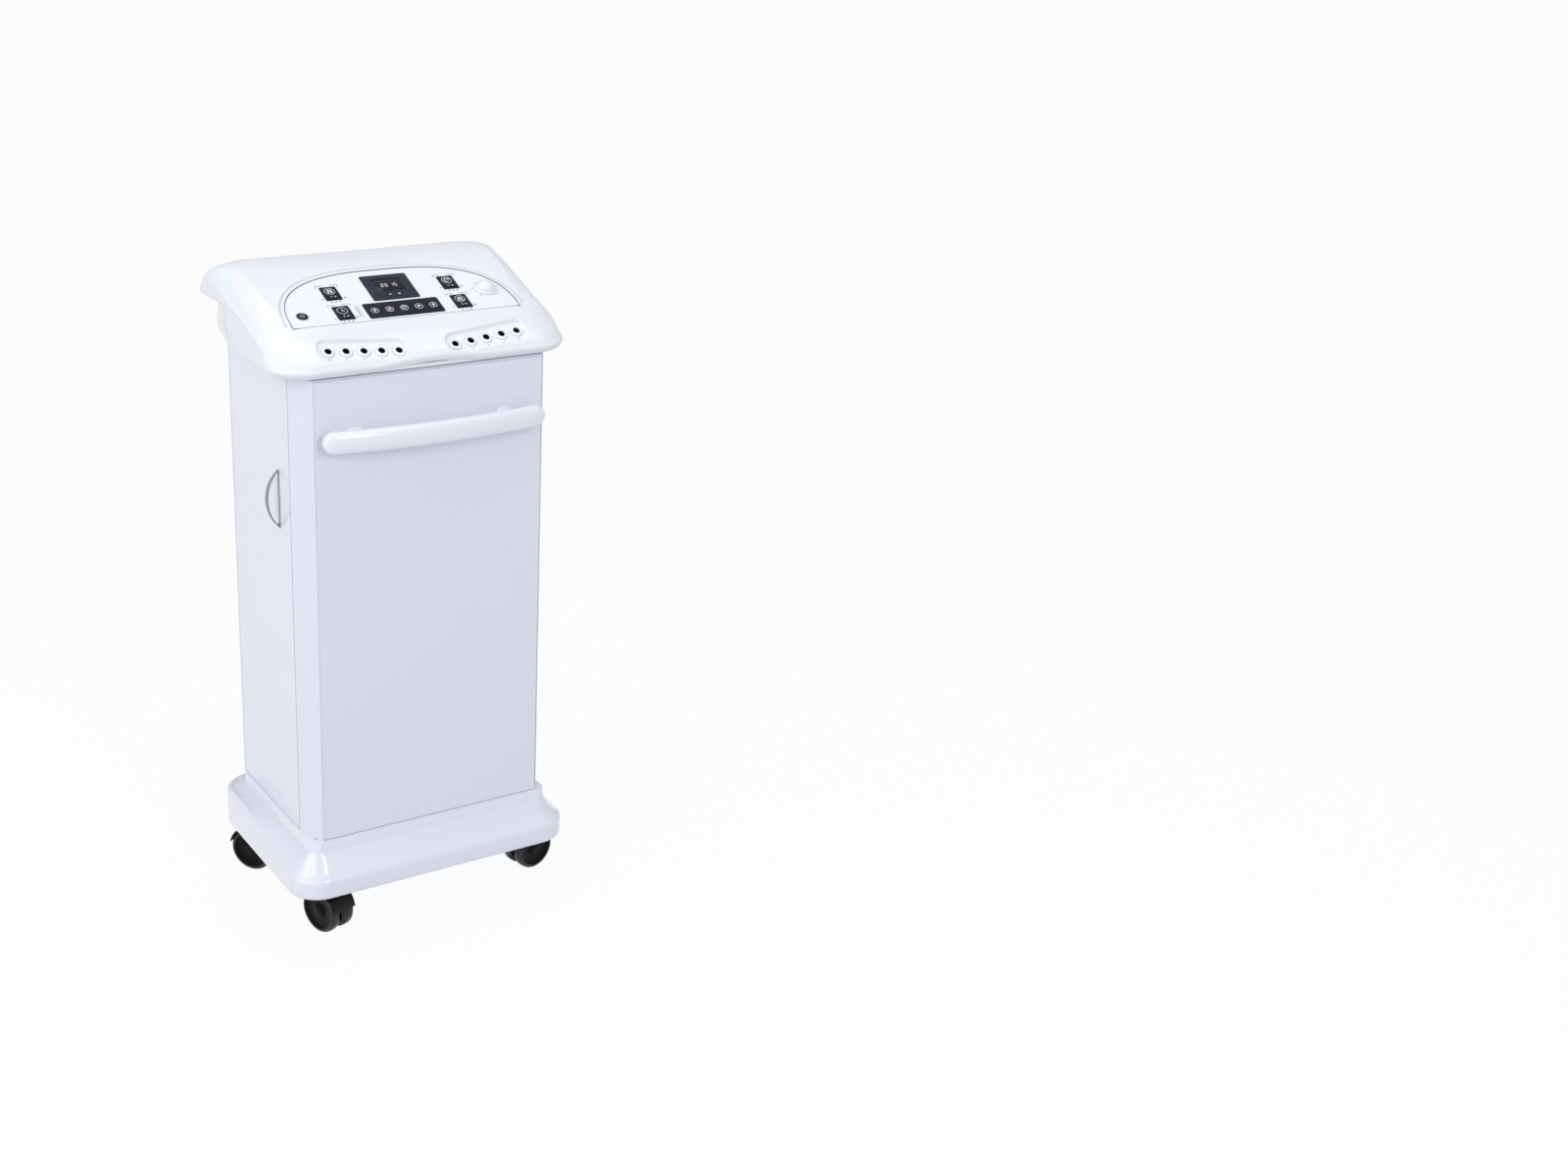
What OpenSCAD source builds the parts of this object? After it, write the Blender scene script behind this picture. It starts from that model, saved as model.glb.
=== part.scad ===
// Compression therapy pump: a moulded control head on a wheeled sheet-metal cabinet.
// Millimetres. +Z is up, the front faces -Y, and the origin lies on the floor under the
// middle of the whole object. Every piece is a separate solid.

/* [Cabinet] */
// Width of the cabinet
body_w = 412; // [404:1:424]
// Depth of the cabinet
body_d = 292; // [286:1:304]
// Height of the cabinet
body_h = 760; // [720:5:820]
// Width of each front corner bevel
bevel_w = 16; // [13:1:19]
// Depth of each front corner bevel
bevel_d = 55; // [48:1:60]
// Thickness of the cabinet sheet
sheet_t = 2; // [1.6:0.1:2.2]
// Width of the folded returns
flange_w = 12; // [11:0.5:13]
// Gap round the door and above the front panel
reveal = 1; // [0.9:0.1:1.2]

/* [Base] */
// How far the plinth stands out beyond each side of the cabinet
base_out_x = 36; // [32:1:42]
// How far the plinth stands out beyond the front and the back
base_out_y = 32; // [30:1:38]
// Height of the plinth
base_h = 87; // [83:1:93]
// Height of the plinth's upright band at the front
band_h = 33; // [28:1:37]
// How much the band rises towards the back
band_rise = 30; // [24:1:31]
// Height of the plinth's crest, where its collar starts
crest_h = 67; // [65:1:69]
// How far the crest stands out beyond the cabinet
crest_out = 4; // [3:0.5:6]
// Radius of the plinth's corners
base_r = 52; // [46:1:58]
// Wall of the plinth moulding
base_wall = 3; // [2.5:0.1:3.5]

/* [Castors] */
// Height of the plate that the castors plug into
castor_h = 92; // [90:1:100]
// Distance of each castor's swivel axis from the middle plane
castor_x = 181; // [178:1:195]
// Distance of the front swivel axes from the centre
castor_front = 96; // [92:1:120]
// Distance of the rear swivel axes from the centre
castor_rear = 102; // [92:1:120]
// Diameter of the wheels
wheel_d = 75; // [70:1:76]
// Width of one wheel disc
wheel_w = 17; // [14:1:18]
// Trail of the wheel axle behind the swivel axis
castor_trail = 26; // [22:1:28]
// Diameter of the swivel stem
stem_d = 11; // [10:0.5:12]
// Diameter of the wheel axle
axle_d = 8; // [7:0.5:9]
// Turn of the front left castor at rest
turn_fl = 17; // [-180:1:180]
// Turn of the front right castor at rest
turn_fr = 104; // [-180:1:180]
// Turn of the rear left castor at rest
turn_rl = -144; // [-180:1:180]
// Turn of the rear right castor at rest
turn_rr = 150; // [-180:1:180]

/* [Handle] */
// Length of the front handle
handle_l = 364; // [350:1:376]
// Height of the handle bar
handle_h = 34; // [32:1:40]
// Thickness of the handle bar
handle_t = 21; // [18:1:23]
// How far the bar bows outwards at its middle
handle_bow = 16; // [12:1:20]
// Gap between the bar's middle and the front panel
handle_gap = 25; // [23:1:30]
// Height of the bar's centre line above the cabinet's underside
handle_up = 669; // [600:1:680]
// Distance of each handle post from the middle
handle_post_x = 123; // [110:1:135]
// Diameter of the handle posts
handle_post_d = 26; // [20:1:28]

/* [Door] */
// Width of the rear post beside the door
post_w = 6; // [5:0.5:8]
// Distance of the hinge axis behind the door's outer face
hinge_in = 4.5; // [4.4:0.1:4.6]
// Distance of the hinge axis from the door's rear edge
hinge_back = 14; // [14:0.5:16]
// Diameter of the hinge pins
hinge_pin_d = 4; // [3.6:0.1:4]
// Length of the chrome pull
pull_l = 93; // [85:1:105]
// How far the pull bows outwards
pull_bow = 20; // [16:1:22]
// Width of the pull's bow
pull_w = 7; // [6:0.5:9]
// Height of the pull's middle above the cabinet's underside
pull_up = 550; // [500:1:600]
// Distance of the pull from the door's front edge
pull_in = 42; // [36:1:60]

/* [Inside] */
// Height of the equipment shelf above the cabinet's underside
shelf_up = 258; // [250:1:300]
// Size of the fan frame
fan_size = 80; // [76:1:84]
// Height of the fan's axis above the cabinet's underside
fan_up = 150; // [140:1:170]
// Height of the mains inlet above the cabinet's underside
inlet_up = 62; // [58:1:70]
// Height of the rear air outlets above the cabinet's underside
manifold_up = 678; // [640:1:690]
// Reach of the hose barbs behind the cabinet
barb_reach = 45; // [40:1:50]
// Outer diameter of the hose barbs
barb_d = 9; // [8:0.5:10]
// Diameter of the compressor's pistons
piston_d = 48; // [44:1:52]
// Travel of the compressor's armature to each side
piston_travel = 2; // [1:0.5:3]

/* [Head] */
// Gap between the cabinet and the head's rim
neck_h = 5; // [4:0.5:7]
// Wall of the head moulding
head_wall = 3; // [2.6:0.1:3.4]
// How far the head's rim stands out beyond each side of the cabinet
rim_out = 35; // [33:1:38]
// How much each side of the lower head draws in towards the back
rim_taper = 24; // [18:1:26]
// How far the side lips stand out beyond the rim at the back
lip_out = 6; // [4:1:9]
// Height of the side lips above the rim
lip_up = 63; // [60:1:66]
// How far the front rim arches up at its middle
rim_arch = 6; // [3:0.5:7]

/* [Control panel] */
// Width of the half-moon panel
panel_w = 374; // [366:1:376]
// Height of the panel along its slope
panel_h = 128; // [124:1:129]
// Slope of the panel
panel_slope = 21; // [20.5:0.5:21.5]
// Distance of the panel's lower edge behind the cabinet's front
panel_in = 70; // [69:0.5:71]
// Height of the panel's lower edge above the rim
panel_up = 55; // [54.5:0.5:55.5]
// Depth of the panel face below the moulding
panel_sink = 0.9; // [0.6:0.1:1.2]
// Travel of the keys
key_travel = 0.8; // [0.4:0.1:0.9]
// Gap round keys and other moving small parts
key_gap = 0.3; // [0.25:0.05:0.4]
// Diameter of the keypad keys
keypad_key_d = 14; // [12:0.5:15]
// Spacing of the keypad keys
keypad_pitch = 24; // [22.5:0.5:24.5]
// Diameter of the keys in the display window
display_key_d = 8; // [7:0.5:9]
// Width of the keys in the modules
module_key_w = 14; // [12:0.5:16]
// Diameter of the power key
power_key_d = 17; // [15:0.5:19]
// Diameter of the level knob
knob_d = 35; // [31:1:37]
// Diameter of the knob's shaft
knob_shaft_d = 6; // [5:0.5:7]

/* [Jacks] */
// Length of each jack recess
pod_w = 142; // [141:1:148]
// Height of each jack recess
pod_h = 41; // [37:0.5:42]
// Depth of each jack recess
pod_depth = 4; // [3:0.5:4.5]
// Distance of the recess centres from the middle plane
pod_x = 100; // [98:1:104]
// Spacing of the jacks
jack_pitch = 27.2; // [25:0.1:27.6]
// Diameter of each jack's collar
jack_d = 20; // [17:0.5:21]
// Bore of each jack
jack_bore = 9.6; // [7:0.2:10]

/* [Hidden] */
$fn = 48;

// Colours
white_paint = [0.90, 0.91, 0.94];
white_plastic = [0.94, 0.94, 0.96];
dark_plastic = [0.10, 0.10, 0.14];
black_plastic = [0.06, 0.06, 0.07];
chrome = [0.75, 0.76, 0.78];
steel = [0.62, 0.63, 0.65];
rubber = [0.09, 0.09, 0.09];
board_green = [0.10, 0.35, 0.18];
brass = [0.75, 0.62, 0.30];
tube_blue = [0.55, 0.60, 0.68];

// Clearances
run_gap = 0.05;      // round a running shaft
face_gap = 0.3;      // between faces that move past each other
eps = 0.1;           // overlap that joins two shapes of one solid
over = 1;            // how far a cutter runs past the face that it cuts

// Levels and half sizes
half_w = body_w / 2;
half_d = body_d / 2;
front_hw = half_w - bevel_w;
bevel_a = atan(bevel_w / bevel_d);
skirt_drop = 7;
base_z = castor_h - skirt_drop;
floor_z = base_z + base_h;
top_z = floor_z + body_h;
rim_z = top_z + neck_h;
floor_top = floor_z + sheet_t;
ceiling_z = top_z - sheet_t;

// ---------------------------------------------------------------- helpers

module block(a, b) {
  translate(a) cube(b - a);
}

// A bar along an axis, from one end to the other
module rod_x(x0, x1, d) {
  translate([x0, 0, 0]) rotate([0, 90, 0]) cylinder(h = x1 - x0, d = d);
}

module rod_y(y0, y1, d) {
  translate([0, y0, 0]) rotate([-90, 0, 0]) cylinder(h = y1 - y0, d = d);
}

module rod_z(z0, z1, d) {
  translate([0, 0, z0]) cylinder(h = z1 - z0, d = d);
}

module mirrored() {
  children();
  mirror([1, 0, 0]) children();
}

// A stadium of full length l and width w, extruded from z0 to z1
module stadium(l, w, z0, z1) {
  translate([0, 0, z0]) linear_extrude(z1 - z0) union() {
    square([l - w, w], center = true);
    for (s = [-1, 1]) translate([s * (l - w) / 2, 0]) circle(d = w);
  }
}

// A rectangle of size w by h with corner radius r, extruded from z0 to z1
module round_plate(w, h, r, z0, z1) {
  translate([0, 0, z0]) linear_extrude(z1 - z0) union() {
    square([w - 2 * r, h], center = true);
    square([w, h - 2 * r], center = true);
    for (x = [-1, 1], y = [-1, 1]) translate([x * (w / 2 - r), y * (h / 2 - r)]) circle(r = r);
  }
}

function arc(cx, cy, r, a0, a1, n) =
  [for (i = [0:n]) let (a = a0 + (a1 - a0) * i / n) [cx + r * cos(a), cy + r * sin(a)]];

function between(p, q, n) = [for (i = [1:n - 1]) p + (q - p) * i / n];

// Rounded rectangle, anticlockwise from its front left, with front corners of radius rf, rear
// corners of radius rr and points along its straight sides
function ring_outline(hw, yf, yr, rf, rr) =
  let (
    fl = [-hw + rf, yf], fr = [hw - rf, yf],
    sf = [hw, yf + rf], sr = [hw, yr - rr],
    br = [hw - rr, yr], bl = [-hw + rr, yr],
    tr = [-hw, yr - rr], tf = [-hw, yf + rf]
  )
  concat(
    arc(-hw + rf, yf + rf, rf, 180, 270, 6), between(fl, fr, 8),
    arc(hw - rf, yf + rf, rf, 270, 360, 6), between(sf, sr, 7),
    arc(hw - rr, yr - rr, rr, 0, 90, 6), between(br, bl, 3),
    arc(-hw + rr, yr - rr, rr, 90, 180, 6), between(tr, tf, 7));

function ease(t) = let (c = min(1, max(0, t))) c * c * (3 - 2 * c);

function mean(v, i = 0) = i == len(v) - 1 ? v[i] / len(v) : v[i] / len(v) + mean(v, i + 1);

// Closed surface through rings of equally many points, either capped or joined into a loop
module skin(rings, loop = false) {
  n = len(rings[0]);
  m = len(rings);
  points = concat([for (r = rings, p = r) p], [mean(rings[0]), mean(rings[m - 1])]);
  last = loop ? m - 1 : m - 2;
  sides = [
    for (i = [0:last], j = [0:n - 1])
      let (
        k = (i + 1) % m, j2 = (j + 1) % n,
        a = i * n + j, b = i * n + j2, c = k * n + j2, d = k * n + j
      )
      each [[a, d, c], [a, c, b]]
  ];
  caps = loop ? [] : concat(
    [for (j = [0:n - 1]) [m * n, j, (j + 1) % n]],
    [for (j = [0:n - 1]) [m * n + 1, (m - 1) * n + (j + 1) % n, (m - 1) * n + j]]);
  polyhedron(points, concat(sides, caps), convexity = 10);
}

// ---------------------------------------------------------------- plinth

base_y = half_d + base_out_y;
base_x = half_w + base_out_x;
crest_x = half_w + crest_out;
crest_y = half_d + crest_out;
crest_r = 18;
collar_in = 2;
toe = 4;
flange_in = 10;
flange_t = 3;

// Ring of the plinth: half sizes, corner radius, front height and rise towards the back
function base_ring(hx, hy, r, z, rise) = [
  for (p = ring_outline(hx, -hy, hy, r, r))
    [p[0], p[1], base_z + z + rise * ease((p[1] + hy * 0.75) / (hy * 1.4))]
];

module base_cover() {
  w = base_wall;
  color(white_plastic) difference() {
    skin([
      base_ring(base_x - toe, base_y - toe, base_r - toe, 0, 0),
      base_ring(base_x, base_y, base_r, toe, 0),
      base_ring(base_x, base_y, base_r, band_h - 2, band_rise),
      base_ring(base_x - 1.5, base_y - 1.5, base_r - 1, band_h + 1, band_rise),
      base_ring(crest_x + 2, crest_y + 2, crest_r + 4, crest_h - 1, 0),
      base_ring(crest_x, crest_y, crest_r, crest_h + 1.5, 0),
      base_ring(crest_x - collar_in, crest_y - collar_in, crest_r - 2, base_h, 0),
      base_ring(half_w - flange_in, half_d - flange_in, 8, base_h, 0),
      base_ring(half_w - flange_in, half_d - flange_in, 8, base_h - flange_t, 0),
      base_ring(crest_x - collar_in - w, crest_y - collar_in - w, crest_r - 4, base_h - flange_t, 0),
      base_ring(crest_x - w, crest_y - w, crest_r - 3, crest_h - w, 0),
      base_ring(base_x - w - 1.5, base_y - w - 1.5, base_r - w, band_h - w, band_rise),
      base_ring(base_x - w, base_y - w, base_r - w, toe, 0),
      base_ring(base_x - toe - w, base_y - toe - w, base_r - toe - w, 0, 0)
    ], loop = true);
    // Screw holes in the top flange
    for (x = [-1, 1], y = [-1, 1])
      translate([x * (half_w - base_screw_in), y * (half_d - base_screw_in), 0])
        rod_z(floor_z - flange_t - over, floor_z + over, 4);
  }
}

base_screw_in = 4;
frame_t = 3;
frame_hx = 220;
frame_hy = 158;
frame_lip = 14;
post_size = 30;
post_x = 150;
post_y = 100;
socket_d = 22;
socket_h = 33;
stem_top = castor_h + socket_h - 3;

// Centres of the four swivel axes: front left, front right, rear left, rear right
castor_at = [
  [-castor_x, -castor_front], [castor_x, -castor_front],
  [-castor_x, castor_rear], [castor_x, castor_rear]
];

module base_frame() {
  z = castor_h;
  color(steel) difference() {
    union() {
      translate([0, 0, 0]) round_plate(2 * frame_hx, 2 * frame_hy, 30, z, z + frame_t);
      // Folded stiffening lips between the castors
      for (s = [-1, 1]) {
        block([-post_x, s * frame_hy - frame_t / 2, z + frame_t - eps],
              [post_x, s * frame_hy + frame_t / 2, z + frame_lip]);
        block([s * frame_hx - frame_t / 2, -post_y + 20, z + frame_t - eps],
              [s * frame_hx + frame_t / 2, post_y - 20, z + frame_lip]);
      }
      for (p = castor_at) translate(p) rod_z(z, z + socket_h, socket_d);
      // Square posts that carry the cabinet
      for (x = [-1, 1], y = [-1, 1]) translate([x * post_x, y * post_y, 0])
        block([-post_size / 2, -post_size / 2, z + frame_t - eps],
              [post_size / 2, post_size / 2, floor_z]);
    }
    for (p = castor_at) translate(p)
      rod_z(z - over, z + socket_h + over, stem_d + 2 * run_gap);
  }
}

// ---------------------------------------------------------------- castors

hood_gap = 1.5;
hood_t = 2;
hood_over = 1;
hood_up = 8;
web_hw = 5;
disc_in = web_hw + 1;
disc_out = disc_in + wheel_w;
boss_d = 28;
neck_d = 15;

// Castor frame: swivel axis on Z, wheel axle trailing towards -Y, turned by its rest angle
module castor_frame(i, turn) {
  translate([castor_at[i][0], castor_at[i][1], 0]) rotate([0, 0, turn]) children();
}

module castor_fork(i, turn) {
  r = wheel_d / 2;
  hood_r = r + hood_gap + hood_t;
  hood_hw = disc_out + hood_over;
  boss_z = castor_h - skirt_drop;
  color(black_plastic) castor_frame(i, turn) difference() {
    union() {
      // Hood over the top of the wheels
      translate([0, -castor_trail, r]) rotate([90, 0, 90]) intersection() {
        translate([0, 0, -hood_hw]) difference() {
          cylinder(r = hood_r, h = 2 * hood_hw);
          translate([0, 0, -over]) cylinder(r = hood_r - hood_t, h = 2 * hood_hw + 2 * over);
        }
        translate([-hood_r - 1, hood_up, -hood_hw]) cube([2 * hood_r + 2, hood_r, 2 * hood_hw]);
      }
      // Web between the discs
      translate([0, -castor_trail, r]) rotate([90, 0, 90]) translate([0, 0, -web_hw])
        intersection() {
          cylinder(r = hood_r - 1, h = 2 * web_hw);
          translate([-hood_r, -14, 0]) cube([2 * hood_r, 2 * hood_r, 2 * web_hw]);
        }
      // Swivel boss, neck and stem
      intersection() {
        rod_z(r + 12, boss_z, boss_d);
        difference() {
          rod_z(r, boss_z, boss_d);
          translate([0, -castor_trail, r]) rod_x(-disc_out - over, -web_hw, wheel_d + 2 * hood_gap);
          translate([0, -castor_trail, r]) rod_x(web_hw, disc_out + over, wheel_d + 2 * hood_gap);
        }
      }
      rod_z(boss_z - eps, castor_h - face_gap, neck_d);
      rod_z(castor_h - 1, stem_top, stem_d);
    }
    // Axle bore
    translate([0, -castor_trail, r]) rod_x(-web_hw - over, web_hw + over, axle_d + 2 * run_gap);
  }
}

module castor_wheels(i, turn) {
  r = wheel_d / 2;
  color(rubber) castor_frame(i, turn) translate([0, -castor_trail, r]) {
    rod_x(-disc_in - 1, disc_in + 1, axle_d);
    for (s = [-1, 1]) mirror([s < 0 ? 1 : 0, 0, 0]) rotate([0, 90, 0]) rotate_extrude($fn = 64)
      polygon(concat(
        [[0, disc_in]], arc(r - 3, disc_in + 3, 3, -90, 0, 4),
        arc(r - 5, disc_out - 5, 5, 0, 90, 5),
        [[r - 9, disc_out - 1.5], [10, disc_out - 1.5], [9, disc_out - 0.5], [0, disc_out - 0.5]]));
  }
}

// ---------------------------------------------------------------- cabinet

// Plan of the cabinet, drawn in by d
function body_outline(d) =
  let (
    x = half_w - d,
    fx = front_hw - d * tan((90 - bevel_a) / 2),
    cy = -half_d + bevel_d + d * tan(bevel_a / 2)
  )
  [[-fx, -half_d + d], [fx, -half_d + d], [x, cy], [x, half_d - d], [-x, half_d - d], [-x, cy]];

door_y0 = -half_d + bevel_d + reveal;
door_y1 = half_d - post_w - reveal;
door_z0 = floor_top + reveal;
door_z1 = ceiling_z - reveal;
hinge_x = -half_w + hinge_in;
hinge_y = door_y1 - hinge_back;
panel_hw = front_hw - sheet_t;
front_face = -half_d + reveal;
front_back = front_face + sheet_t;
channel_hw = 14;
channel_back = front_back + 2 * sheet_t;
cable_hole_d = 90;
cable_hole_y = 20;
rear_open_x = half_w - sheet_t - flange_w;
post_return = flange_w + 4;

module cabinet_shell() {
  color(white_paint) {
    difference() {
      translate([0, 0, floor_z]) linear_extrude(body_h) polygon(body_outline(0));
      translate([0, 0, floor_top]) linear_extrude(body_h - 2 * sheet_t) polygon(body_outline(sheet_t));
      // Open front between the bevels
      block([-panel_hw - 0.5, -half_d - over, floor_top],
            [panel_hw + 0.5, -half_d + sheet_t + eps, ceiling_z]);
      // Door opening in the left side
      block([-half_w - over, door_y0 - reveal, floor_top],
            [-half_w + sheet_t + eps, door_y1 + reveal, ceiling_z]);
      // Rear opening inside the flanges
      block([-rear_open_x, half_d - sheet_t - over, floor_top + flange_w],
            [rear_open_x, half_d + over, ceiling_z - flange_w]);
      translate([0, cable_hole_y, 0]) rod_z(ceiling_z - over, top_z + over, cable_hole_d);
      for (x = [-1, 1], y = [-1, 1])
        translate([x * (half_w - base_screw_in), y * (half_d - base_screw_in), 0])
          rod_z(floor_z - over, floor_top - 0.5, 4);
    }
    // Returns behind the front panel
    mirrored() block([front_hw - flange_w, front_back, floor_top - eps],
                     [front_hw, front_back + sheet_t, ceiling_z + eps]);
    // Return beside the door's front edge
    block([-half_w + sheet_t / 2, door_y0 - reveal - sheet_t, floor_top - eps],
          [-half_w + sheet_t + post_return, door_y0 - reveal, ceiling_z + eps]);
  }
}

module front_panel() {
  color(white_paint) difference() {
    union() {
      block([-panel_hw, front_face, floor_top + reveal], [panel_hw, front_back, ceiling_z - reveal]);
      // Stiffening channels on the back
      for (s = [-1, 1]) translate([s * handle_post_x, 0, 0])
        block([-channel_hw, front_back - eps, floor_top + 20], [channel_hw, channel_back, ceiling_z - 20]);
    }
    for (s = [-1, 1]) translate([s * handle_post_x, 0, floor_z + handle_up])
      rod_y(front_face - over, channel_back + over, screw_d + 2 * screw_gap);
  }
}

// Front and back faces of the bowed bar at its middle, and the bow's radius
bar_back = front_face - handle_gap;
bar_front = bar_back - handle_t;
bow_r = (handle_l * handle_l / 4 + handle_bow * handle_bow) / (2 * handle_bow);
function bar_back_at(x) = bar_front + bow_r - sqrt(pow(bow_r - handle_t, 2) - x * x);

module front_handle() {
  z = floor_z + handle_up;
  color(white_plastic) difference() {
    union() {
      intersection() {
        translate([0, bar_front + bow_r, z - handle_h / 2]) difference() {
          cylinder(r = bow_r, h = handle_h, $fn = 360);
          translate([0, 0, -over])
            cylinder(r = bow_r - handle_t, h = handle_h + 2 * over, $fn = 360);
        }
        translate([0, 0, z]) rotate([90, 0, 0])
          stadium(handle_l, handle_h, -front_face, -bar_front + over);
      }
      for (s = [-1, 1]) translate([s * handle_post_x, 0, z])
        rod_y(bar_back_at(handle_post_x) - 1, front_face, handle_post_d);
    }
    for (s = [-1, 1]) translate([s * handle_post_x, 0, z])
      rod_y(front_face - screw_in - 3, front_face + over, screw_d + 0.1);
  }
}

screw_d = 4.9;
screw_gap = 0.15;
screw_in = 12;
screw_head_d = 9;
screw_head_t = 3;

module handle_screws() {
  color(steel) for (s = [-1, 1]) translate([s * handle_post_x, 0, floor_z + handle_up]) {
    rod_y(front_face - screw_in, channel_back + eps, screw_d);
    rod_y(channel_back, channel_back + screw_head_t, screw_head_d);
  }
}

module side_door() {
  x0 = -half_w;
  x1 = -half_w + sheet_t;
  fold = x1 + flange_w - 2;
  hinge_block = 10;
  color(white_paint) difference() {
    union() {
      block([x0, door_y0, door_z0], [x1, door_y1, door_z1]);
      // Folded front, top and bottom edges
      block([x1 - eps, door_y0, door_z0], [fold, door_y0 + sheet_t, door_z1]);
      for (z = [door_z0, door_z1 - sheet_t])
        block([x1 - eps, door_y0, z], [fold, hinge_y - hinge_block, z + sheet_t]);
      // Hinge blocks
      for (z = [door_z0 + sheet_t, door_z1 - sheet_t - hinge_block])
        block([x1 - eps, hinge_y - 6, z], [hinge_x + 6, hinge_y + 6, z + hinge_block]);
    }
    translate([hinge_x, hinge_y, 0]) rod_z(door_z0 - over, door_z1 + over, hinge_pin_d + 2 * run_gap);
    // The pull's screw holes
    for (s = [-1, 1]) translate([0, pull_y, pull_z + s * (pull_l / 2 - 6)])
      rod_x(x0 - over, x1 + over, 3.2);
  }
}

pull_y = door_y0 + pull_in;
pull_z = floor_z + pull_up;
pull_t = 3;
pull_strip = 1.5;
pull_r = (pull_l * pull_l / 4 + pull_bow * pull_bow) / (2 * pull_bow);

module door_pull() {
  color(chrome) translate([-half_w, pull_y, pull_z]) {
    // Back strip
    block([-pull_strip, -pull_w / 2 - 1.5, -pull_l / 2], [0, pull_w / 2 + 1.5, pull_l / 2]);
    // Bow
    intersection() {
      translate([pull_r - pull_bow - pull_strip, 0, 0]) rotate([90, 0, 0])
        translate([0, 0, -pull_w / 2]) difference() {
          cylinder(r = pull_r, h = pull_w, $fn = 128);
          translate([0, 0, -over]) cylinder(r = pull_r - pull_t, h = pull_w + 2 * over, $fn = 128);
        }
      block([-pull_bow - 2 * pull_strip, -pull_w, -pull_l / 2], [-pull_strip / 2, pull_w, pull_l / 2]);
    }
    // Screws through the door
    for (s = [-1, 1]) translate([0, 0, s * (pull_l / 2 - 6)]) {
      rod_x(-pull_strip, sheet_t + eps, 3);
      rod_x(sheet_t, sheet_t + 2, 6);
    }
  }
}

pin_reach = 15;

module door_hinge_pins() {
  color(steel) translate([hinge_x, hinge_y, 0]) {
    rod_z(floor_top, floor_top + pin_reach, hinge_pin_d);
    rod_z(ceiling_z - pin_reach, ceiling_z, hinge_pin_d);
  }
}

module door_catch() {
  y0 = door_y0 + sheet_t + 0.4;
  x1 = -half_w + sheet_t + flange_w;
  z = floor_z + body_h / 2;
  color(black_plastic) union() {
    block([-half_w + sheet_t + face_gap, y0, z - 18], [x1, y0 + 10, z + 18]);
    block([x1 - eps, door_y0 - reveal, z - 18], [x1 + 3, y0 + 10, z + 18]);
  }
}

shelf_z = floor_z + shelf_up;
swing_gap = 4;

module equipment_shelf() {
  x0 = hinge_x + hinge_back + swing_gap;
  x1 = half_w - sheet_t;
  y0 = channel_back;
  y1 = half_d - sheet_t;
  drop = 14;
  color(steel) difference() {
    union() {
      intersection() {
        block([x0, y0, shelf_z], [x1, y1, shelf_z + sheet_t]);
        translate([0, 0, shelf_z - over]) linear_extrude(sheet_t + 2 * over) polygon(body_outline(sheet_t));
      }
      block([x0, y0 + 20, shelf_z - drop], [x0 + sheet_t, y1 - 20, shelf_z + eps]);
      block([x0, y0 + 20, shelf_z - drop], [x1 - 20, y0 + 20 + sheet_t, shelf_z + eps]);
      block([x0, y1 - 20 - sheet_t, shelf_z - drop], [x1 - 20, y1 - 20, shelf_z + eps]);
    }
    // Passage for the air tubes
    translate([tube_x, tube_y, 0]) rod_z(shelf_z - over, shelf_z + sheet_t + over, 60);
  }
}

// ---------------------------------------------------------------- rear

rear_t = 1.5;
rear_hx = half_w - 6;
rear_y0 = half_d;
rear_y1 = half_d + rear_t;
fan_x = -90;
fan_z = floor_z + fan_up;
fan_bore = fan_size - 4;
inlet_x = 110;
inlet_z = floor_z + inlet_up;
inlet_w = 66;
inlet_h = 48;
manifold_z = floor_z + manifold_up;
manifold_w = 168;
manifold_h = 44;
barb_pitch_x = 26;
barb_pitch_z = 22;
window_hx = manifold_w / 2 - 5;
window_hz = manifold_h / 2 - 3;
window_gap = 0.3;
vent_w = 100;

module rear_panel() {
  color(white_paint) difference() {
    block([-rear_hx, rear_y0, floor_z + 6], [rear_hx, rear_y1, top_z - 6]);
    // Fan guard
    for (r = [10, 18, 26, 34]) translate([fan_x, 0, fan_z]) rotate([-90, 0, 0])
      translate([0, 0, rear_y0 - over]) difference() {
        cylinder(r = r, h = rear_t + 2 * over);
        translate([0, 0, -over]) cylinder(r = r - 4.5, h = rear_t + 4 * over);
        for (a = [0, 60, 120]) rotate([0, 0, a])
          translate([-40, -2, -over]) cube([80, 4, rear_t + 4 * over]);
      }
    // Louvre slots
    for (x = [-95, 95], i = [0:7]) translate([x, 0, floor_z + 300 + 12 * i])
      rotate([-90, 0, 0]) stadium(vent_w, 5, rear_y0 - over, rear_y1 + over);
    // Openings for the inlet and the air outlets
    translate([inlet_x, 0, inlet_z])
      block([-inlet_w / 2, rear_y0 - over, -inlet_h / 2], [inlet_w / 2, rear_y1 + over, inlet_h / 2]);
    translate([0, 0, manifold_z])
      block([-window_hx, rear_y0 - over, -window_hz], [window_hx, rear_y1 + over, window_hz]);
    for (p = rear_screw_at) translate([p[0], 0, p[1]]) rod_y(rear_y0 - over, rear_y1 + over, 4.2);
  }
}

rear_screw_at = [
  for (s = [-1, 1], i = [0:4])
    [s * (half_w - sheet_t - flange_w / 2), floor_z + 16 + (body_h - 32) * i / 4]
];

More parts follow.
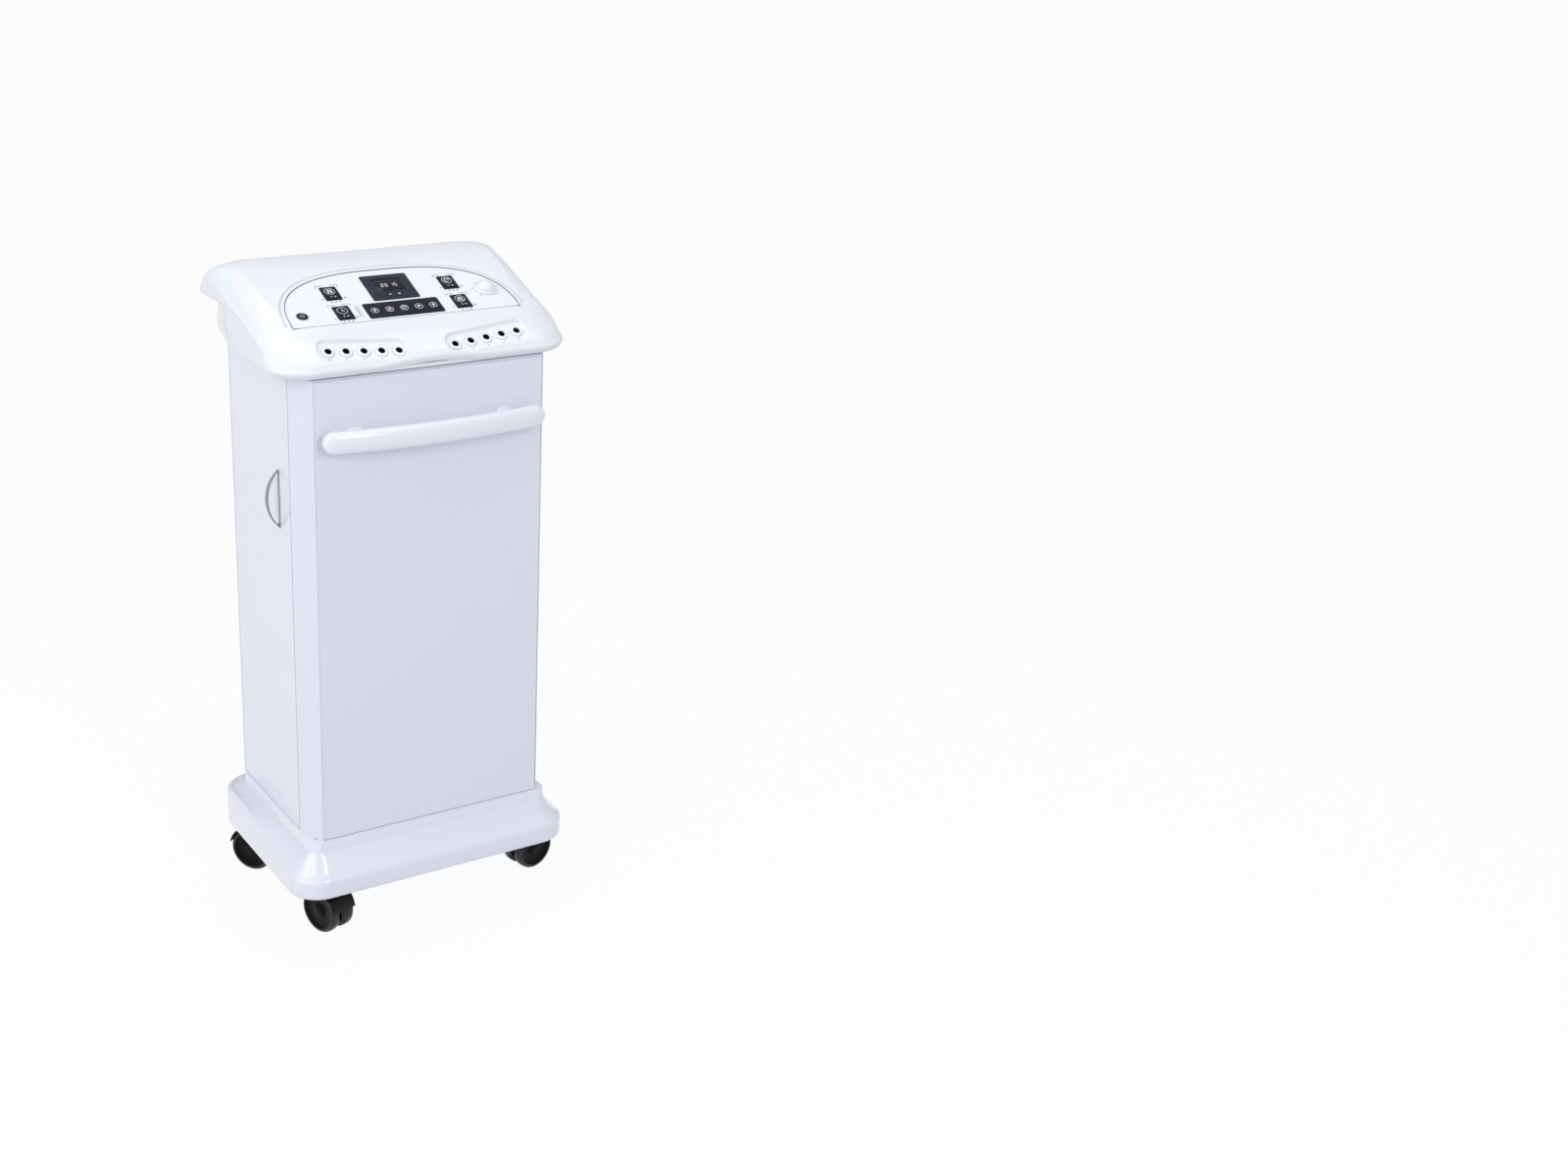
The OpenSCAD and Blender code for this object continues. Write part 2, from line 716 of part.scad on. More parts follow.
module rear_screws() {
  color(steel) for (p = rear_screw_at) translate([p[0], 0, p[1]]) difference() {
    union() {
      rod_y(half_d, rear_y1 + eps, 4);
      rod_y(rear_y1, rear_y1 + 2.4, 8);
    }
    translate([-0.6, rear_y1 + 1.4, -3]) cube([1.2, 2, 6]);
    translate([-3, rear_y1 + 1.4, -0.6]) cube([6, 2, 1.2]);
  }
}

module air_manifold() {
  y1 = half_d - sheet_t;
  tip = half_d + barb_reach;
  color(dark_plastic) translate([0, 0, manifold_z]) {
    difference() {
      union() {
        block([-manifold_w / 2, y1 - 22, -manifold_h / 2], [manifold_w / 2, rear_y0, manifold_h / 2]);
        // Face that stands in the rear panel's window
        block([-window_hx + window_gap, rear_y0 - eps, -window_hz + window_gap],
              [window_hx - window_gap, rear_y1 + 1, window_hz - window_gap]);
        for (i = [-2.5:1:2.5], j = [-0.5, 0.5])
          translate([i * barb_pitch_x, 0, j * barb_pitch_z]) {
            rod_y(rear_y1, rear_y1 + 3, 14);
            rod_y(rear_y1, tip, barb_d - 2);
            // Barb ridges
            for (k = [0:2]) translate([0, tip - 9 - 9 * k, 0]) rotate([-90, 0, 0])
              cylinder(h = 8, d1 = barb_d, d2 = barb_d - 2);
          }
      }
      for (i = [-2.5:1:2.5], j = [-0.5, 0.5])
        translate([i * barb_pitch_x, 0, j * barb_pitch_z]) rod_y(y1 - 14, tip + over, barb_d - 5);
      // Air gallery
      block([-manifold_w / 2 + 8, y1 - 18, -manifold_h / 2 + 6],
            [manifold_w / 2 - 8, y1 - 10, manifold_h / 2 - 6]);
    }
    // Hose tail at the bottom
    translate([tail_x, tail_y, -manifold_h / 2]) difference() {
      rod_z(-tail_h, eps, tube_d - 3);
      rod_z(-tail_h - over, -2, 4);
    }
  }
}

socket_w = 27;
socket_hh = 20;
socket_depth = 18;
rocker_r = 10;
rocker_w = 14;
rocker_x = 19;
rocker_y = rear_y1 + 1.5 - 3;
rocker_tilt = 7;
rocker_pin = 3;

module power_inlet() {
  color(black_plastic) translate([inlet_x, 0, inlet_z]) {
    difference() {
      union() {
        block([-inlet_w / 2 - 3, rear_y1, -inlet_h / 2 - 3], [inlet_w / 2 + 3, rear_y1 + 2.5, inlet_h / 2 + 3]);
        block([-inlet_w / 2 + 0.5, rear_y1 - 30, -inlet_h / 2 + 0.5],
              [inlet_w / 2 - 0.5, rear_y1 + eps, inlet_h / 2 - 0.5]);
      }
      // Socket
      block([-12 - socket_w / 2, rear_y1 + 2.5 - socket_depth, -socket_hh / 2],
            [-12 + socket_w / 2, rear_y1 + 2.5 + over, socket_hh / 2]);
      // Pocket of the rocker
      translate([rocker_x, rocker_y, 0]) rod_x(-rocker_w / 2 - face_gap, rocker_w / 2 + face_gap,
        2 * (rocker_r + face_gap));
      // Bores of the rocker's pivot
      translate([rocker_x, rocker_y, 0]) rod_x(-rocker_w / 2 - 3, rocker_w / 2 + 3,
        rocker_pin + 2 * run_gap);
    }
    // Contact pins
    for (p = [[-7, -2], [0, 3], [7, -2]]) translate([-12 + p[0], 0, p[1]])
      block([-1, rear_y1 + 2.5 - socket_depth - eps, -2], [1, rear_y1 - 2, 2]);
  }
}

module power_switch() {
  color(dark_plastic) translate([inlet_x + rocker_x, rocker_y, inlet_z]) rotate([rocker_tilt, 0, 0]) {
    difference() {
      rod_x(-rocker_w / 2, rocker_w / 2, 2 * rocker_r);
      // Two shallow faces that meet in the middle
      for (s = [-1, 1]) rotate([s * rocker_tilt, 0, 0])
        block([-rocker_w, rocker_pin + 1.5, s > 0 ? 0 : -2 * rocker_r],
              [rocker_w, 2 * rocker_r, s > 0 ? 2 * rocker_r : 0]);
    }
    rod_x(-rocker_w / 2 - 2.5, rocker_w / 2 + 2.5, rocker_pin);
  }
}

module fan_frame() {
  h = 25;
  y1 = half_d - sheet_t - 1;
  color(black_plastic) translate([fan_x, y1, fan_z]) rotate([90, 0, 0]) {
    difference() {
      round_plate(fan_size, fan_size, 4, 0, h);
      rod_z(-over, h + over, fan_bore);
      for (x = [-1, 1], y = [-1, 1]) translate([x * (fan_size / 2 - 4.5), y * (fan_size / 2 - 4.5), 0])
        rod_z(-over, h + over, 4.3);
    }
    // Hub carrier with its struts and spindle
    rod_z(h - 5, h, 34);
    for (a = [0, 90, 180, 270]) rotate([0, 0, a + 45])
      block([15, -2, h - 4], [fan_bore / 2 + 1, 2, h]);
    rod_z(4, h - 5 + eps, 5);
    // Spacers to the rear wall
    for (x = [-1, 1], y = [-1, 1]) translate([x * (fan_size / 2 - 4.5), y * (fan_size / 2 - 4.5), 0])
      difference() {
        rod_z(-3, eps, 8);
        rod_z(-4, 1, 4.3);
      }
  }
}

module fan_rotor() {
  h = 25;
  y1 = half_d - sheet_t - 1;
  color(dark_plastic) translate([fan_x, y1, fan_z]) rotate([90, 0, 0]) difference() {
    union() {
      rod_z(3, h - 6, 30);
      for (a = [0:360 / 7:359]) rotate([0, 0, a]) translate([13, 0, 11]) rotate([35, 0, 0])
        block([0, -9, -0.8], [fan_bore / 2 - 15, 9, 0.8]);
    }
    rod_z(5 - over, h, 5 + 2 * run_gap);
  }
}

// ---------------------------------------------------------------- machinery

comp_x = -40;
comp_y = -20;
comp_l = 190;
comp_w = 104;
comp_h = 104;
comp_foot = 12;
comp_axis_z = floor_top + comp_foot + comp_h / 2;
rod_d = 12;
cyl_in = 34;
piston_gap = 3;

module compressor_housing() {
  z0 = floor_top;
  color(steel) translate([comp_x, comp_y, 0]) {
    difference() {
      block([-comp_l / 2, -comp_w / 2, z0 + comp_foot], [comp_l / 2, comp_w / 2, z0 + comp_foot + comp_h]);
      translate([0, 0, comp_axis_z]) {
        // Middle chamber, two cylinders, and the bores between them
        block([-comp_l / 2 + cyl_in + 10, -40, -40], [comp_l / 2 - cyl_in - 10, 40, 40]);
        for (s = [-1, 1]) mirror([s < 0 ? 1 : 0, 0, 0])
          rod_x(comp_l / 2 - cyl_in, comp_l / 2 - 6, piston_d + 2 * face_gap);
        rod_x(-comp_l / 2 + cyl_in - over, comp_l / 2 - cyl_in + over, rod_d + 2 * run_gap);
      }
      // Cooling grooves
      for (i = [-5:5]) translate([i * 15, 0, 0])
        for (s = [-1, 1]) block([-3, s > 0 ? comp_w / 2 - 5 : -comp_w / 2 - over, z0 + comp_foot + 8],
                                [3, s > 0 ? comp_w / 2 + over : -comp_w / 2 + 5, z0 + comp_foot + comp_h - 8]);
    }
    // Rubber feet
    for (x = [-1, 1], y = [-1, 1]) translate([x * (comp_l / 2 - 18), y * (comp_w / 2 - 18), 0])
      rod_z(z0, z0 + comp_foot + eps, 22);
    // Outlet tail
    translate([comp_l / 2 - 20, 0, 0]) rod_z(z0 + comp_foot + comp_h - eps, z0 + comp_foot + comp_h + 12, tube_d - 3);
  }
}

module compressor_armature() {
  head_t = 10;
  magnet_hx = 22;
  magnet_hw = 30;
  reach = comp_l / 2 - cyl_in + head_t / 2 + piston_travel + piston_gap;
  color(brass) translate([comp_x, comp_y, comp_axis_z]) {
    rod_x(-reach - head_t / 2, reach + head_t / 2, rod_d);
    for (s = [-1, 1]) mirror([s < 0 ? 1 : 0, 0, 0]) rod_x(reach - head_t / 2, reach + head_t / 2, piston_d);
    block([-magnet_hx, -magnet_hw, -magnet_hw], [magnet_hx, magnet_hw, magnet_hw]);
  }
}

valve_x = 128;
valve_y = -60;
valve_w = 96;
valve_d = 76;
valve_h = 46;
valve_foot = 6;
rotor_d = 56;
rotor_t = 12;
rotor_shaft = 8;
valve_mid = floor_top + valve_foot + valve_h / 2;

module valve_block() {
  z0 = floor_top + valve_foot;
  color(white_plastic) translate([valve_x, valve_y, 0]) {
    difference() {
      block([-valve_w / 2, -valve_d / 2, z0], [valve_w / 2, valve_d / 2, z0 + valve_h]);
      // Rotor chamber and shaft bore
      rod_z(valve_mid - rotor_t / 2 - face_gap, valve_mid + rotor_t / 2 + face_gap, rotor_d + 2 * face_gap);
      rod_z(z0 + 6, z0 + valve_h - 6, rotor_shaft + 2 * run_gap);
    }
    for (x = [-1, 1], y = [-1, 1]) translate([x * (valve_w / 2 - 10), y * (valve_d / 2 - 10), 0])
      rod_z(floor_top, z0 + eps, 12);
    // Stepper motor on top, and the hose tails
    block([-21, -21, z0 + valve_h - eps], [21, 21, z0 + valve_h + 30]);
    for (s = [-1, 1]) translate([s * (valve_w / 2 - 13), valve_d / 2 - 14, 0])
      rod_z(z0 + valve_h - eps, z0 + valve_h + 12, tube_d - 3);
  }
}

module valve_rotor() {
  z0 = floor_top + valve_foot;
  color(brass) translate([valve_x, valve_y, 0]) difference() {
    union() {
      rod_z(valve_mid - rotor_t / 2, valve_mid + rotor_t / 2, rotor_d);
      rod_z(z0 + 6 + face_gap, z0 + valve_h - 6 - face_gap, rotor_shaft);
    }
    for (a = [0:60:359]) rotate([0, 0, a]) translate([19, 0, 0])
      rod_z(valve_mid - rotor_t, valve_mid + rotor_t, 7);
  }
}

trafo_x = 128;
trafo_y = 60;

trafo_hx = 38;
trafo_hy = 24;
trafo_h = 64;
trafo_foot_t = 3;
trafo_foot_hx = 52;
trafo_foot_hy = 20;
slot_hx = 7;
slot_h = 40;
coil_in = 0.5;
coil_out = 9;

module transformer() {
  z0 = floor_top + trafo_foot_t;
  mid = z0 + trafo_h / 2;
  slot_x = trafo_hx / 2;
  color(steel) translate([trafo_x, trafo_y, 0]) {
    // Laminated core on its foot
    difference() {
      block([-trafo_hx, -trafo_hy, z0], [trafo_hx, trafo_hy, z0 + trafo_h]);
      for (s = [-1, 1]) translate([s * slot_x, 0, mid])
        block([-slot_hx, -trafo_hy - over, -slot_h / 2], [slot_hx, trafo_hy + over, slot_h / 2]);
    }
    block([-trafo_foot_hx, -trafo_foot_hy, floor_top], [trafo_foot_hx, trafo_foot_hy, z0 + eps]);
    // Winding round the core's middle limb
    difference() {
      block([-slot_x - slot_hx + coil_in, -trafo_hy - coil_out, mid - slot_h / 2 + 1],
            [slot_x + slot_hx - coil_in, trafo_hy + coil_out, mid + slot_h / 2 - 1]);
      block([-slot_x + slot_hx + eps, -trafo_hy + eps, mid - slot_h],
            [slot_x - slot_hx - eps, trafo_hy - eps, mid + slot_h]);
    }
  }
}

// ---------------------------------------------------------------- air tubes

tube_d = 10;
tube_x = 60;
tube_y = 110;
tail_h = 12;
tail_x = tube_x - 6;
tail_y = half_d - sheet_t - 11;

function unit(v) = v / norm(v);

// Smooth curve through the points, with m steps between two of them
function curve(p, m) = [
  for (i = [0:len(p) - 2], k = [0:m - (i == len(p) - 2 ? 0 : 1)])
    let (
      t = k / m, a = p[max(i - 1, 0)], b = p[i], c = p[i + 1], d = p[min(i + 2, len(p) - 1)]
    )
    0.5 * (2 * b + (c - a) * t + (2 * a - 5 * b + 4 * c - d) * t * t
      + (3 * b - a - 3 * c + d) * t * t * t)
];

// Round tube of radius r along a curve, as rings of n points
function tube_rings(p, r, n) = [
  for (i = [0:len(p) - 1])
    let (
      t = unit(p[min(i + 1, len(p) - 1)] - p[max(i - 1, 0)]),
      u = unit(cross(t, [0.35, 0.80, 0.49])),
      v = cross(t, u)
    )
    [for (k = [0:n - 1]) p[i] + r * (cos(360 * k / n) * u + sin(360 * k / n) * v)]
];

module tube(points) {
  skin(tube_rings(curve(points, 4), tube_d / 2, 8));
}

tube_run = [0, 0, 8];

module air_tubes() {
  comp_out = [comp_x + comp_l / 2 - 20, comp_y, floor_top + comp_foot + comp_h + tail_h];
  valve_top = floor_top + valve_foot + valve_h + tail_h;
  valve_in = [valve_x - valve_w / 2 + 13, valve_y + valve_d / 2 - 14, valve_top];
  valve_out = [valve_x + valve_w / 2 - 13, valve_y + valve_d / 2 - 14, valve_top];
  feed = [tail_x, tail_y, manifold_z - manifold_h / 2 - tail_h];
  color(tube_blue) {
    tube([comp_out, comp_out + tube_run, comp_out + 2 * tube_run,
          (comp_out + valve_in) / 2 + [0, -10, 42],
          valve_in + 4 * tube_run, valve_in + tube_run, valve_in]);
    tube([valve_out, valve_out + tube_run, valve_out + 4 * tube_run,
          [valve_out[0] - 10, tube_y - 40, shelf_z - 60],
          [tube_x, tube_y, shelf_z - 12], [tube_x, tube_y, shelf_z + 60],
          [tail_x, tail_y - 6, manifold_z - 120], feed - 4 * tube_run, feed - tube_run, feed]);
  }
}

// ---------------------------------------------------------------- head

panel_y = -half_d + panel_in;
panel_z = rim_z + panel_up;
cap_rim = 9;

// Height of the sloping cap plane above the rim, at y
function cap_z(y) = panel_up + (y - panel_y) * tan(panel_slope);

// Rings of the head, from the rim to the flat cap. Each holds its half width beyond the
// cabinet, how far its sides draw in towards the back, its front and rear edges beyond the
// cabinet, its front and rear corner radii, its height at the front and at the rear, and where
// its rise starts and ends behind the cabinet's front.
head_rings = [
  [rim_out, rim_taper, 5, 5, 58, 12, 0, 0, 0, 100],
  [rim_out + 3, rim_taper, 8, 7, 60, 12, 8, 12, 26, 190],
  [rim_out + 2, rim_taper, 4, 7, 62, 12, 14, lip_up - 7, 26, 190],
  [rim_out, -lip_out, -1, 7, 64, 12, 20, lip_up, 26, 190],
  [rim_out - 1, -lip_out, -12, 7, 66, 16, 27.5, lip_up + 15, 16, 246],
  [rim_out - 5, -lip_out + 2, -22, 5, 68, 24, 33, 94, 6, 296],
  [rim_out - 16, 0, -34, -6, 70, 34, 38, 107, -4, 286],
  [rim_out - 33, 0, -48, -32, 70, 48, 35, 114, -24, 276]
];
taper_from = half_d - 126;
taper_to = half_d + 24;

cap_hw = panel_w / 2 + cap_rim;
cap_yf = panel_y - cap_rim;
cap_yr = panel_y + (panel_h + cap_rim) * cos(panel_slope);

// Ring i of the head, drawn in by d sideways and lowered by dz
function head_ring(i, d, dz) =
  let (
    h = head_rings[i],
    hw = half_w + h[0] - d,
    yf = -half_d - h[2] + d,
    yr = half_d + h[3] - d
  )
  [
    for (p = ring_outline(hw, yf, yr, h[4] - d, h[5] - d))
      let (
        up = h[6] + (h[7] - h[6]) * ease((p[1] + half_d - h[8]) / (h[9] - h[8])),
        // The inner skin follows the narrower wall below the lip
        shrink = d > 0 && i < 4 ? max(h[1], rim_taper) : h[1],
        taper = 1 - shrink / hw * ease((p[1] - taper_from) / (taper_to - taper_from)),
        bow = i > 2 || p[1] > yf + 1 ? 0 : cos(min(90, abs(p[0]) * 90 / 85))
      )
      [p[0] * taper, p[1] - 1.5 * bow, rim_z + up - dz + rim_arch * bow]
  ];

function cap_ring(d, dz) = [
  for (p = ring_outline(cap_hw - d, cap_yf + d, cap_yr - d, 62 - d, 62 - d))
    [p[0], p[1], rim_z + cap_z(p[1]) - dz]
];

function drop(i, w) = i < 4 ? 0 : i == 4 ? w / 2 : w;

function outer_rings() =
  concat([for (i = [0:len(head_rings) - 1]) head_ring(i, 0, 0)], [cap_ring(0, 0)]);

function inner_rings(w) =
  concat([cap_ring(w, w / cos(panel_slope))],
         [for (i = [len(head_rings) - 1:-1:0]) head_ring(i, w, drop(i, w))]);

// Half-moon: the upper half of a superellipse on a straight base
moon_power = 2.7;
function moon(hw, h, n = 22) = [
  for (i = [0:n])
    let (t = 180 * i / n, c = cos(t), s = sin(t))
    [hw * sign(c) * pow(abs(c), 2 / moon_power), h * pow(abs(s), 2 / moon_power)]
];

module panel_frame() {
  translate([0, panel_y, panel_z]) rotate([panel_slope, 0, 0]) children();
}

module moon_plate(grow, z0, z1) {
  translate([0, -grow, z0]) linear_extrude(z1 - z0)
    polygon(moon(panel_w / 2 + grow, panel_h + 2 * grow));
}

// Jack recess frame, on the nose of the head: s is -1 on the left and 1 on the right
pod_tilt = 35;
pod_turn = 6.3;
pod_y = -half_d + 16;
pod_z = rim_z + 28.5;
pod_wall = 2;
pod_r = 12;
plate_t = 2;
pod_back = pod_depth + 2 * plate_t;
jack_reach = 16;

// Jack recess drawn in by d: its inner end is round, its outer corners have the radius pod_r
module pod_shape(s, d, z0, z1) {
  h = pod_h - 2 * d;
  x0 = (pod_h - pod_w) / 2;
  x1 = pod_w / 2 - d;
  r = pod_r - d;
  translate([0, 0, z0]) mirror([s < 0 ? 1 : 0, 0, 0]) linear_extrude(z1 - z0) union() {
    translate([x0, 0]) circle(d = h);
    translate([x0, -h / 2]) square([x1 - r - x0, h]);
    translate([x0, -h / 2 + r]) square([x1 - x0, h - 2 * r]);
    for (y = [-1, 1]) translate([x1 - r, y * (h / 2 - r)]) circle(r = r);
  }
}

module pod_frame(s) {
  translate([s * pod_x, pod_y, pod_z]) rotate([pod_tilt, 0, 0]) rotate([0, 0, s * pod_turn]) children();
}

boss_in = 27;
boss_at = [
  for (s = [-1, 1], y = [-65, 0, 70])
    let (draw_in = rim_taper * ease((y - taper_from) / (taper_to - taper_from)))
    [s * (half_w + rim_out - draw_in - boss_in), y]
];
boss_top = rim_z + 30;
tray_t = 3;
tray_z = rim_z - 2;

module head_cover() {
  color(white_plastic) {
    difference() {
      union() {
        difference() {
          skin(concat(inner_rings(head_wall), outer_rings()));
          for (s = [-1, 1]) pod_frame(s) pod_shape(s, -0.5, -pod_back, 40);
        }
        // Walls of the jack recesses
        intersection() {
          skin(outer_rings());
          union() for (s = [-1, 1]) pod_frame(s) pod_shape(s, -pod_wall, -pod_back, 30);
        }
      }
      for (s = [-1, 1]) pod_frame(s) {
        pod_shape(s, 0, -pod_depth - plate_t, 40);
        pod_shape(s, 3, -pod_back - over, 0);
      }
      panel_frame() moon_plate(0, -3 * head_wall, 20);
    }
    // Screw bosses on the side walls
    for (p = boss_at) translate(p) {
      difference() {
        rod_z(tray_z + tray_t, boss_top, 12);
        rod_z(tray_z + tray_t - over, boss_top - 6, 3.6);
      }
      mirror([p[0] < 0 ? 1 : 0, 0, 0])
        block([5, -2, tray_z + tray_t + 8], [boss_in + 0.5, 2, boss_top - 6]);
    }
  }
}

tray_gap = 0.4;
tray_lip = 3;
neck_x = 200;
neck_y = 138;

// Plan of the head's inner wall at its rim, drawn in by d
module rim_plan(d, z0, z1) {
  translate([0, 0, z0]) linear_extrude(z1 - z0)
    polygon([for (p = head_ring(0, head_wall + d, 0)) [p[0], p[1]]]);
}

module head_tray() {
  color(white_plastic) difference() {
    union() {
      round_plate(2 * neck_x, 2 * neck_y, 12, top_z, tray_z + eps);
      rim_plan(tray_gap, tray_z, tray_z + tray_t);
      difference() {
        rim_plan(tray_gap, tray_z, tray_z + tray_t + tray_lip);
        rim_plan(tray_gap + 2, tray_z, tray_z + 2 * tray_t + tray_lip);
      }
    }
    translate([0, cable_hole_y, 0]) rod_z(top_z - over, tray_z + 2 * tray_t + tray_lip, cable_hole_d);
    round_plate(2 * neck_x - 8, 2 * neck_y - 8, 9, top_z - over, tray_z);
    for (p = boss_at) translate(p) rod_z(tray_z - over, tray_z + tray_t + over, 4);
  }
  // Screws up into the head's bosses
  color(steel) for (p = boss_at) translate(p) {
    rod_z(tray_z - 1.8, tray_z + 0.2, 7);
    rod_z(tray_z, tray_z + 15, 3.6);
  }
}

// ---------------------------------------------------------------- control panel

plate_fit = 0.3;
plate_top = -panel_sink;
plate_bottom = -5;
flange_top = -head_wall - 0.05;
flange_grow = 5;
board_z = -16;
board_t = 1.6;
switch_top = board_z + board_t + 3.2;
stem_bottom = switch_top + key_travel + 0.2;
key_flange_t = 1.4;
key_flange_top = plate_bottom - face_gap;

window_w = 77;
window_s = [48, 113];
window_top = -0.3;
pad_w = 124;
pad_s = [6, 44];
pad_top = -0.3;
pad_key_s = 24;
module_w = 27;
module_h = 35;
module_top = -0.5;
module_x = panel_w / 2 - 90;
module_at = [[-module_x, 77.5], [-module_x, 27], [module_x, 77.5], [module_x, 27]];
module_key_dy = -10;
module_key_h = 7;
window_key_dx = 7.5;
window_key_s = 60;
power_at = [-panel_w / 2 + 25, 28];
knob_at = [panel_w / 2 - 37, 52];
plate_sink = 1;

pad_keys = [for (i = [-2:2]) [i * keypad_pitch, pad_key_s]];
window_keys = [for (s = [-1, 1]) [s * window_key_dx, window_key_s]];
module_keys = [for (m = module_at) [m[0], m[1] + module_key_dy]];

module key_hole(d) {
  rod_z(plate_bottom - over, 10, d + 2 * key_gap);
}

module module_key_hole() {
  g = 2 * key_gap;
  round_plate(module_key_w + g, module_key_h + g, 1.5 + key_gap, plate_bottom - over, 10);
}

module all_key_holes() {
  for (p = pad_keys) translate(p) key_hole(keypad_key_d);
  for (p = window_keys) translate(p) key_hole(display_key_d);
  for (p = module_keys) translate(p) module_key_hole();
}

module window_outline(w, z0, z1) {
  translate([0, (window_s[0] + window_s[1]) / 2, 0])
    round_plate(window_w - 2 * w, window_s[1] - window_s[0] - 2 * w, 3, z0, z1);
}

module pad_outline(w, z0, z1) {
  translate([0, (pad_s[0] + pad_s[1]) / 2, 0])
    round_plate(pad_w - 2 * w, pad_s[1] - pad_s[0] - 2 * w, 3, z0, z1);
}

module module_outline(w, z0, z1) {
  round_plate(module_w - 2 * w, module_h - 2 * w, 2, z0, z1);
}

board_hw = panel_w / 2 - 22;
board_upper_hw = panel_w / 2 - 57;
board_s = [14, 60, 100];
board_posts = [
  for (x = [-1, 1]) each [[x * (board_hw - 30), board_s[0] + 6], [x * (board_upper_hw - 8), board_s[2] - 6]]
];

module control_panel() {
  color(white_plastic) difference() {
    union() {
      panel_frame() moon_plate(-plate_fit, plate_bottom, plate_top);
      // Flange behind the moulding, inside the cap's rounded corners
      intersection() {
        panel_frame() moon_plate(flange_grow, plate_bottom, flange_top);
        translate([0, 0, rim_z]) linear_extrude(2 * panel_h)
          polygon([for (p = cap_ring(head_wall + plate_fit, 0)) [p[0], p[1]]]);
      }
      // Posts that carry the board
      panel_frame() for (p = board_posts) translate(p) rod_z(board_z + board_t, plate_bottom + eps, 8);
    }
    panel_frame() {
      all_key_holes();
      translate(power_at) key_hole(power_key_d);
      translate(knob_at) rod_z(plate_bottom - over, 1, encoder_neck + 0.4);
      window_outline(0, plate_top - plate_sink, 1);
      pad_outline(0, plate_top - plate_sink, 1);
      for (m = module_at) translate(m) module_outline(0, plate_top - plate_sink, 1);
    }
  }
}

module display_window() {
  color(dark_plastic) panel_frame() difference() {
    window_outline(0.15, plate_top - plate_sink, window_top);
    all_key_holes();
  }
}

module keypad_plate() {
  color(dark_plastic) panel_frame() difference() {
    pad_outline(0.15, plate_top - plate_sink, pad_top);
    all_key_holes();
  }
}

module module_plates() {
  color(dark_plastic) panel_frame() difference() {
    for (m = module_at) translate(m) module_outline(0.15, plate_top - plate_sink, module_top);
    all_key_holes();
  }
}

// Round key: cap through the panel, retaining flange below it and a stem to the switch
module round_key(p, d, rise) {
  color(white_plastic) panel_frame() translate(p) {
    rod_z(key_flange_top - eps, rise - 0.5, d);
    translate([0, 0, rise - 0.5 - eps]) cylinder(h = 0.5 + eps, d1 = d, d2 = d - 1.2);
    rod_z(key_flange_top - key_flange_t, key_flange_top, d + 3);
    rod_z(stem_bottom, key_flange_top - key_flange_t + eps, 4);
  }
}

module module_key(p) {
  color(white_plastic) panel_frame() translate(p) {
    round_plate(module_key_w, module_key_h, 1.5, key_flange_top - eps, 1);
    round_plate(module_key_w + 3, module_key_h + 3, 2, key_flange_top - key_flange_t, key_flange_top);
    rod_z(stem_bottom, key_flange_top - key_flange_t + eps, 4);
  }
}

module power_key() {
  color(black_plastic) panel_frame() translate(power_at) difference() {
    union() {
      rod_z(key_flange_top - eps, 1.5, power_key_d);
      rod_z(key_flange_top - key_flange_t, key_flange_top, power_key_d + 3);
      rod_z(stem_bottom, key_flange_top - key_flange_t + eps, 4);
    }
    // Ring groove in the cap
    difference() {
      rod_z(1, 2, power_key_d - 4);
      rod_z(0, 3, power_key_d - 6);
    }
  }
}

encoder_neck = 10;
encoder_top = -1.2;
knob_h = 14;
knob_base_h = 3;

module level_knob() {
  z0 = plate_top + face_gap;
  r = knob_d / 2;
  color(white_plastic) panel_frame() translate(knob_at) {
    rotate_extrude($fn = 64) polygon(concat(
      [[0, z0], [r, z0], [r, z0 + knob_base_h - 0.5], [r - 0.5, z0 + knob_base_h], [r - 3, z0 + knob_base_h]],
      [for (i = [0:6]) let (a = 15 * i)
        [(r - 4) * cos(a), z0 + knob_base_h + (knob_h - knob_base_h) * sin(a)]]));
    rod_z(board_z + board_t + 2, z0 + eps, knob_shaft_d);
  }
}

module knob_encoder() {
  color(steel) panel_frame() translate(knob_at) difference() {
    union() {
      block([-7, -7, board_z + board_t], [7, 7, plate_bottom]);
      rod_z(plate_bottom - eps, encoder_top, encoder_neck);
    }
    rod_z(board_z + board_t + 1, encoder_top + over, knob_shaft_d + 2 * run_gap);
  }
}

module main_board() {
  color(board_green) panel_frame() {
    block([-board_hw, board_s[0], board_z], [board_hw, board_s[1], board_z + board_t]);
    block([-board_upper_hw, board_s[0], board_z], [board_upper_hw, board_s[2], board_z + board_t]);
    // Connectors underneath
    for (x = [-60, 60]) block([x - 14, 66, board_z - 8], [x + 14, 90, board_z + eps]);
  }
}

module key_switches() {
  at = concat(pad_keys, window_keys, module_keys, [power_at]);
  color(black_plastic) panel_frame() for (p = at) translate(p)
    block([-3, -3, board_z + board_t], [3, 3, switch_top]);
}

// ---------------------------------------------------------------- jacks

jack_pos = [for (i = [-2:2]) i * jack_pitch];
jack_body_d = 13;

module jack_plate(s) {
  color(white_plastic) pod_frame(s) difference() {
    pod_shape(s, 0.2, -pod_depth - plate_t, -pod_depth);
    for (x = jack_pos) translate([x, 0, 0]) rod_z(-pod_depth - 3, 0, jack_body_d + 0.3);
  }
}

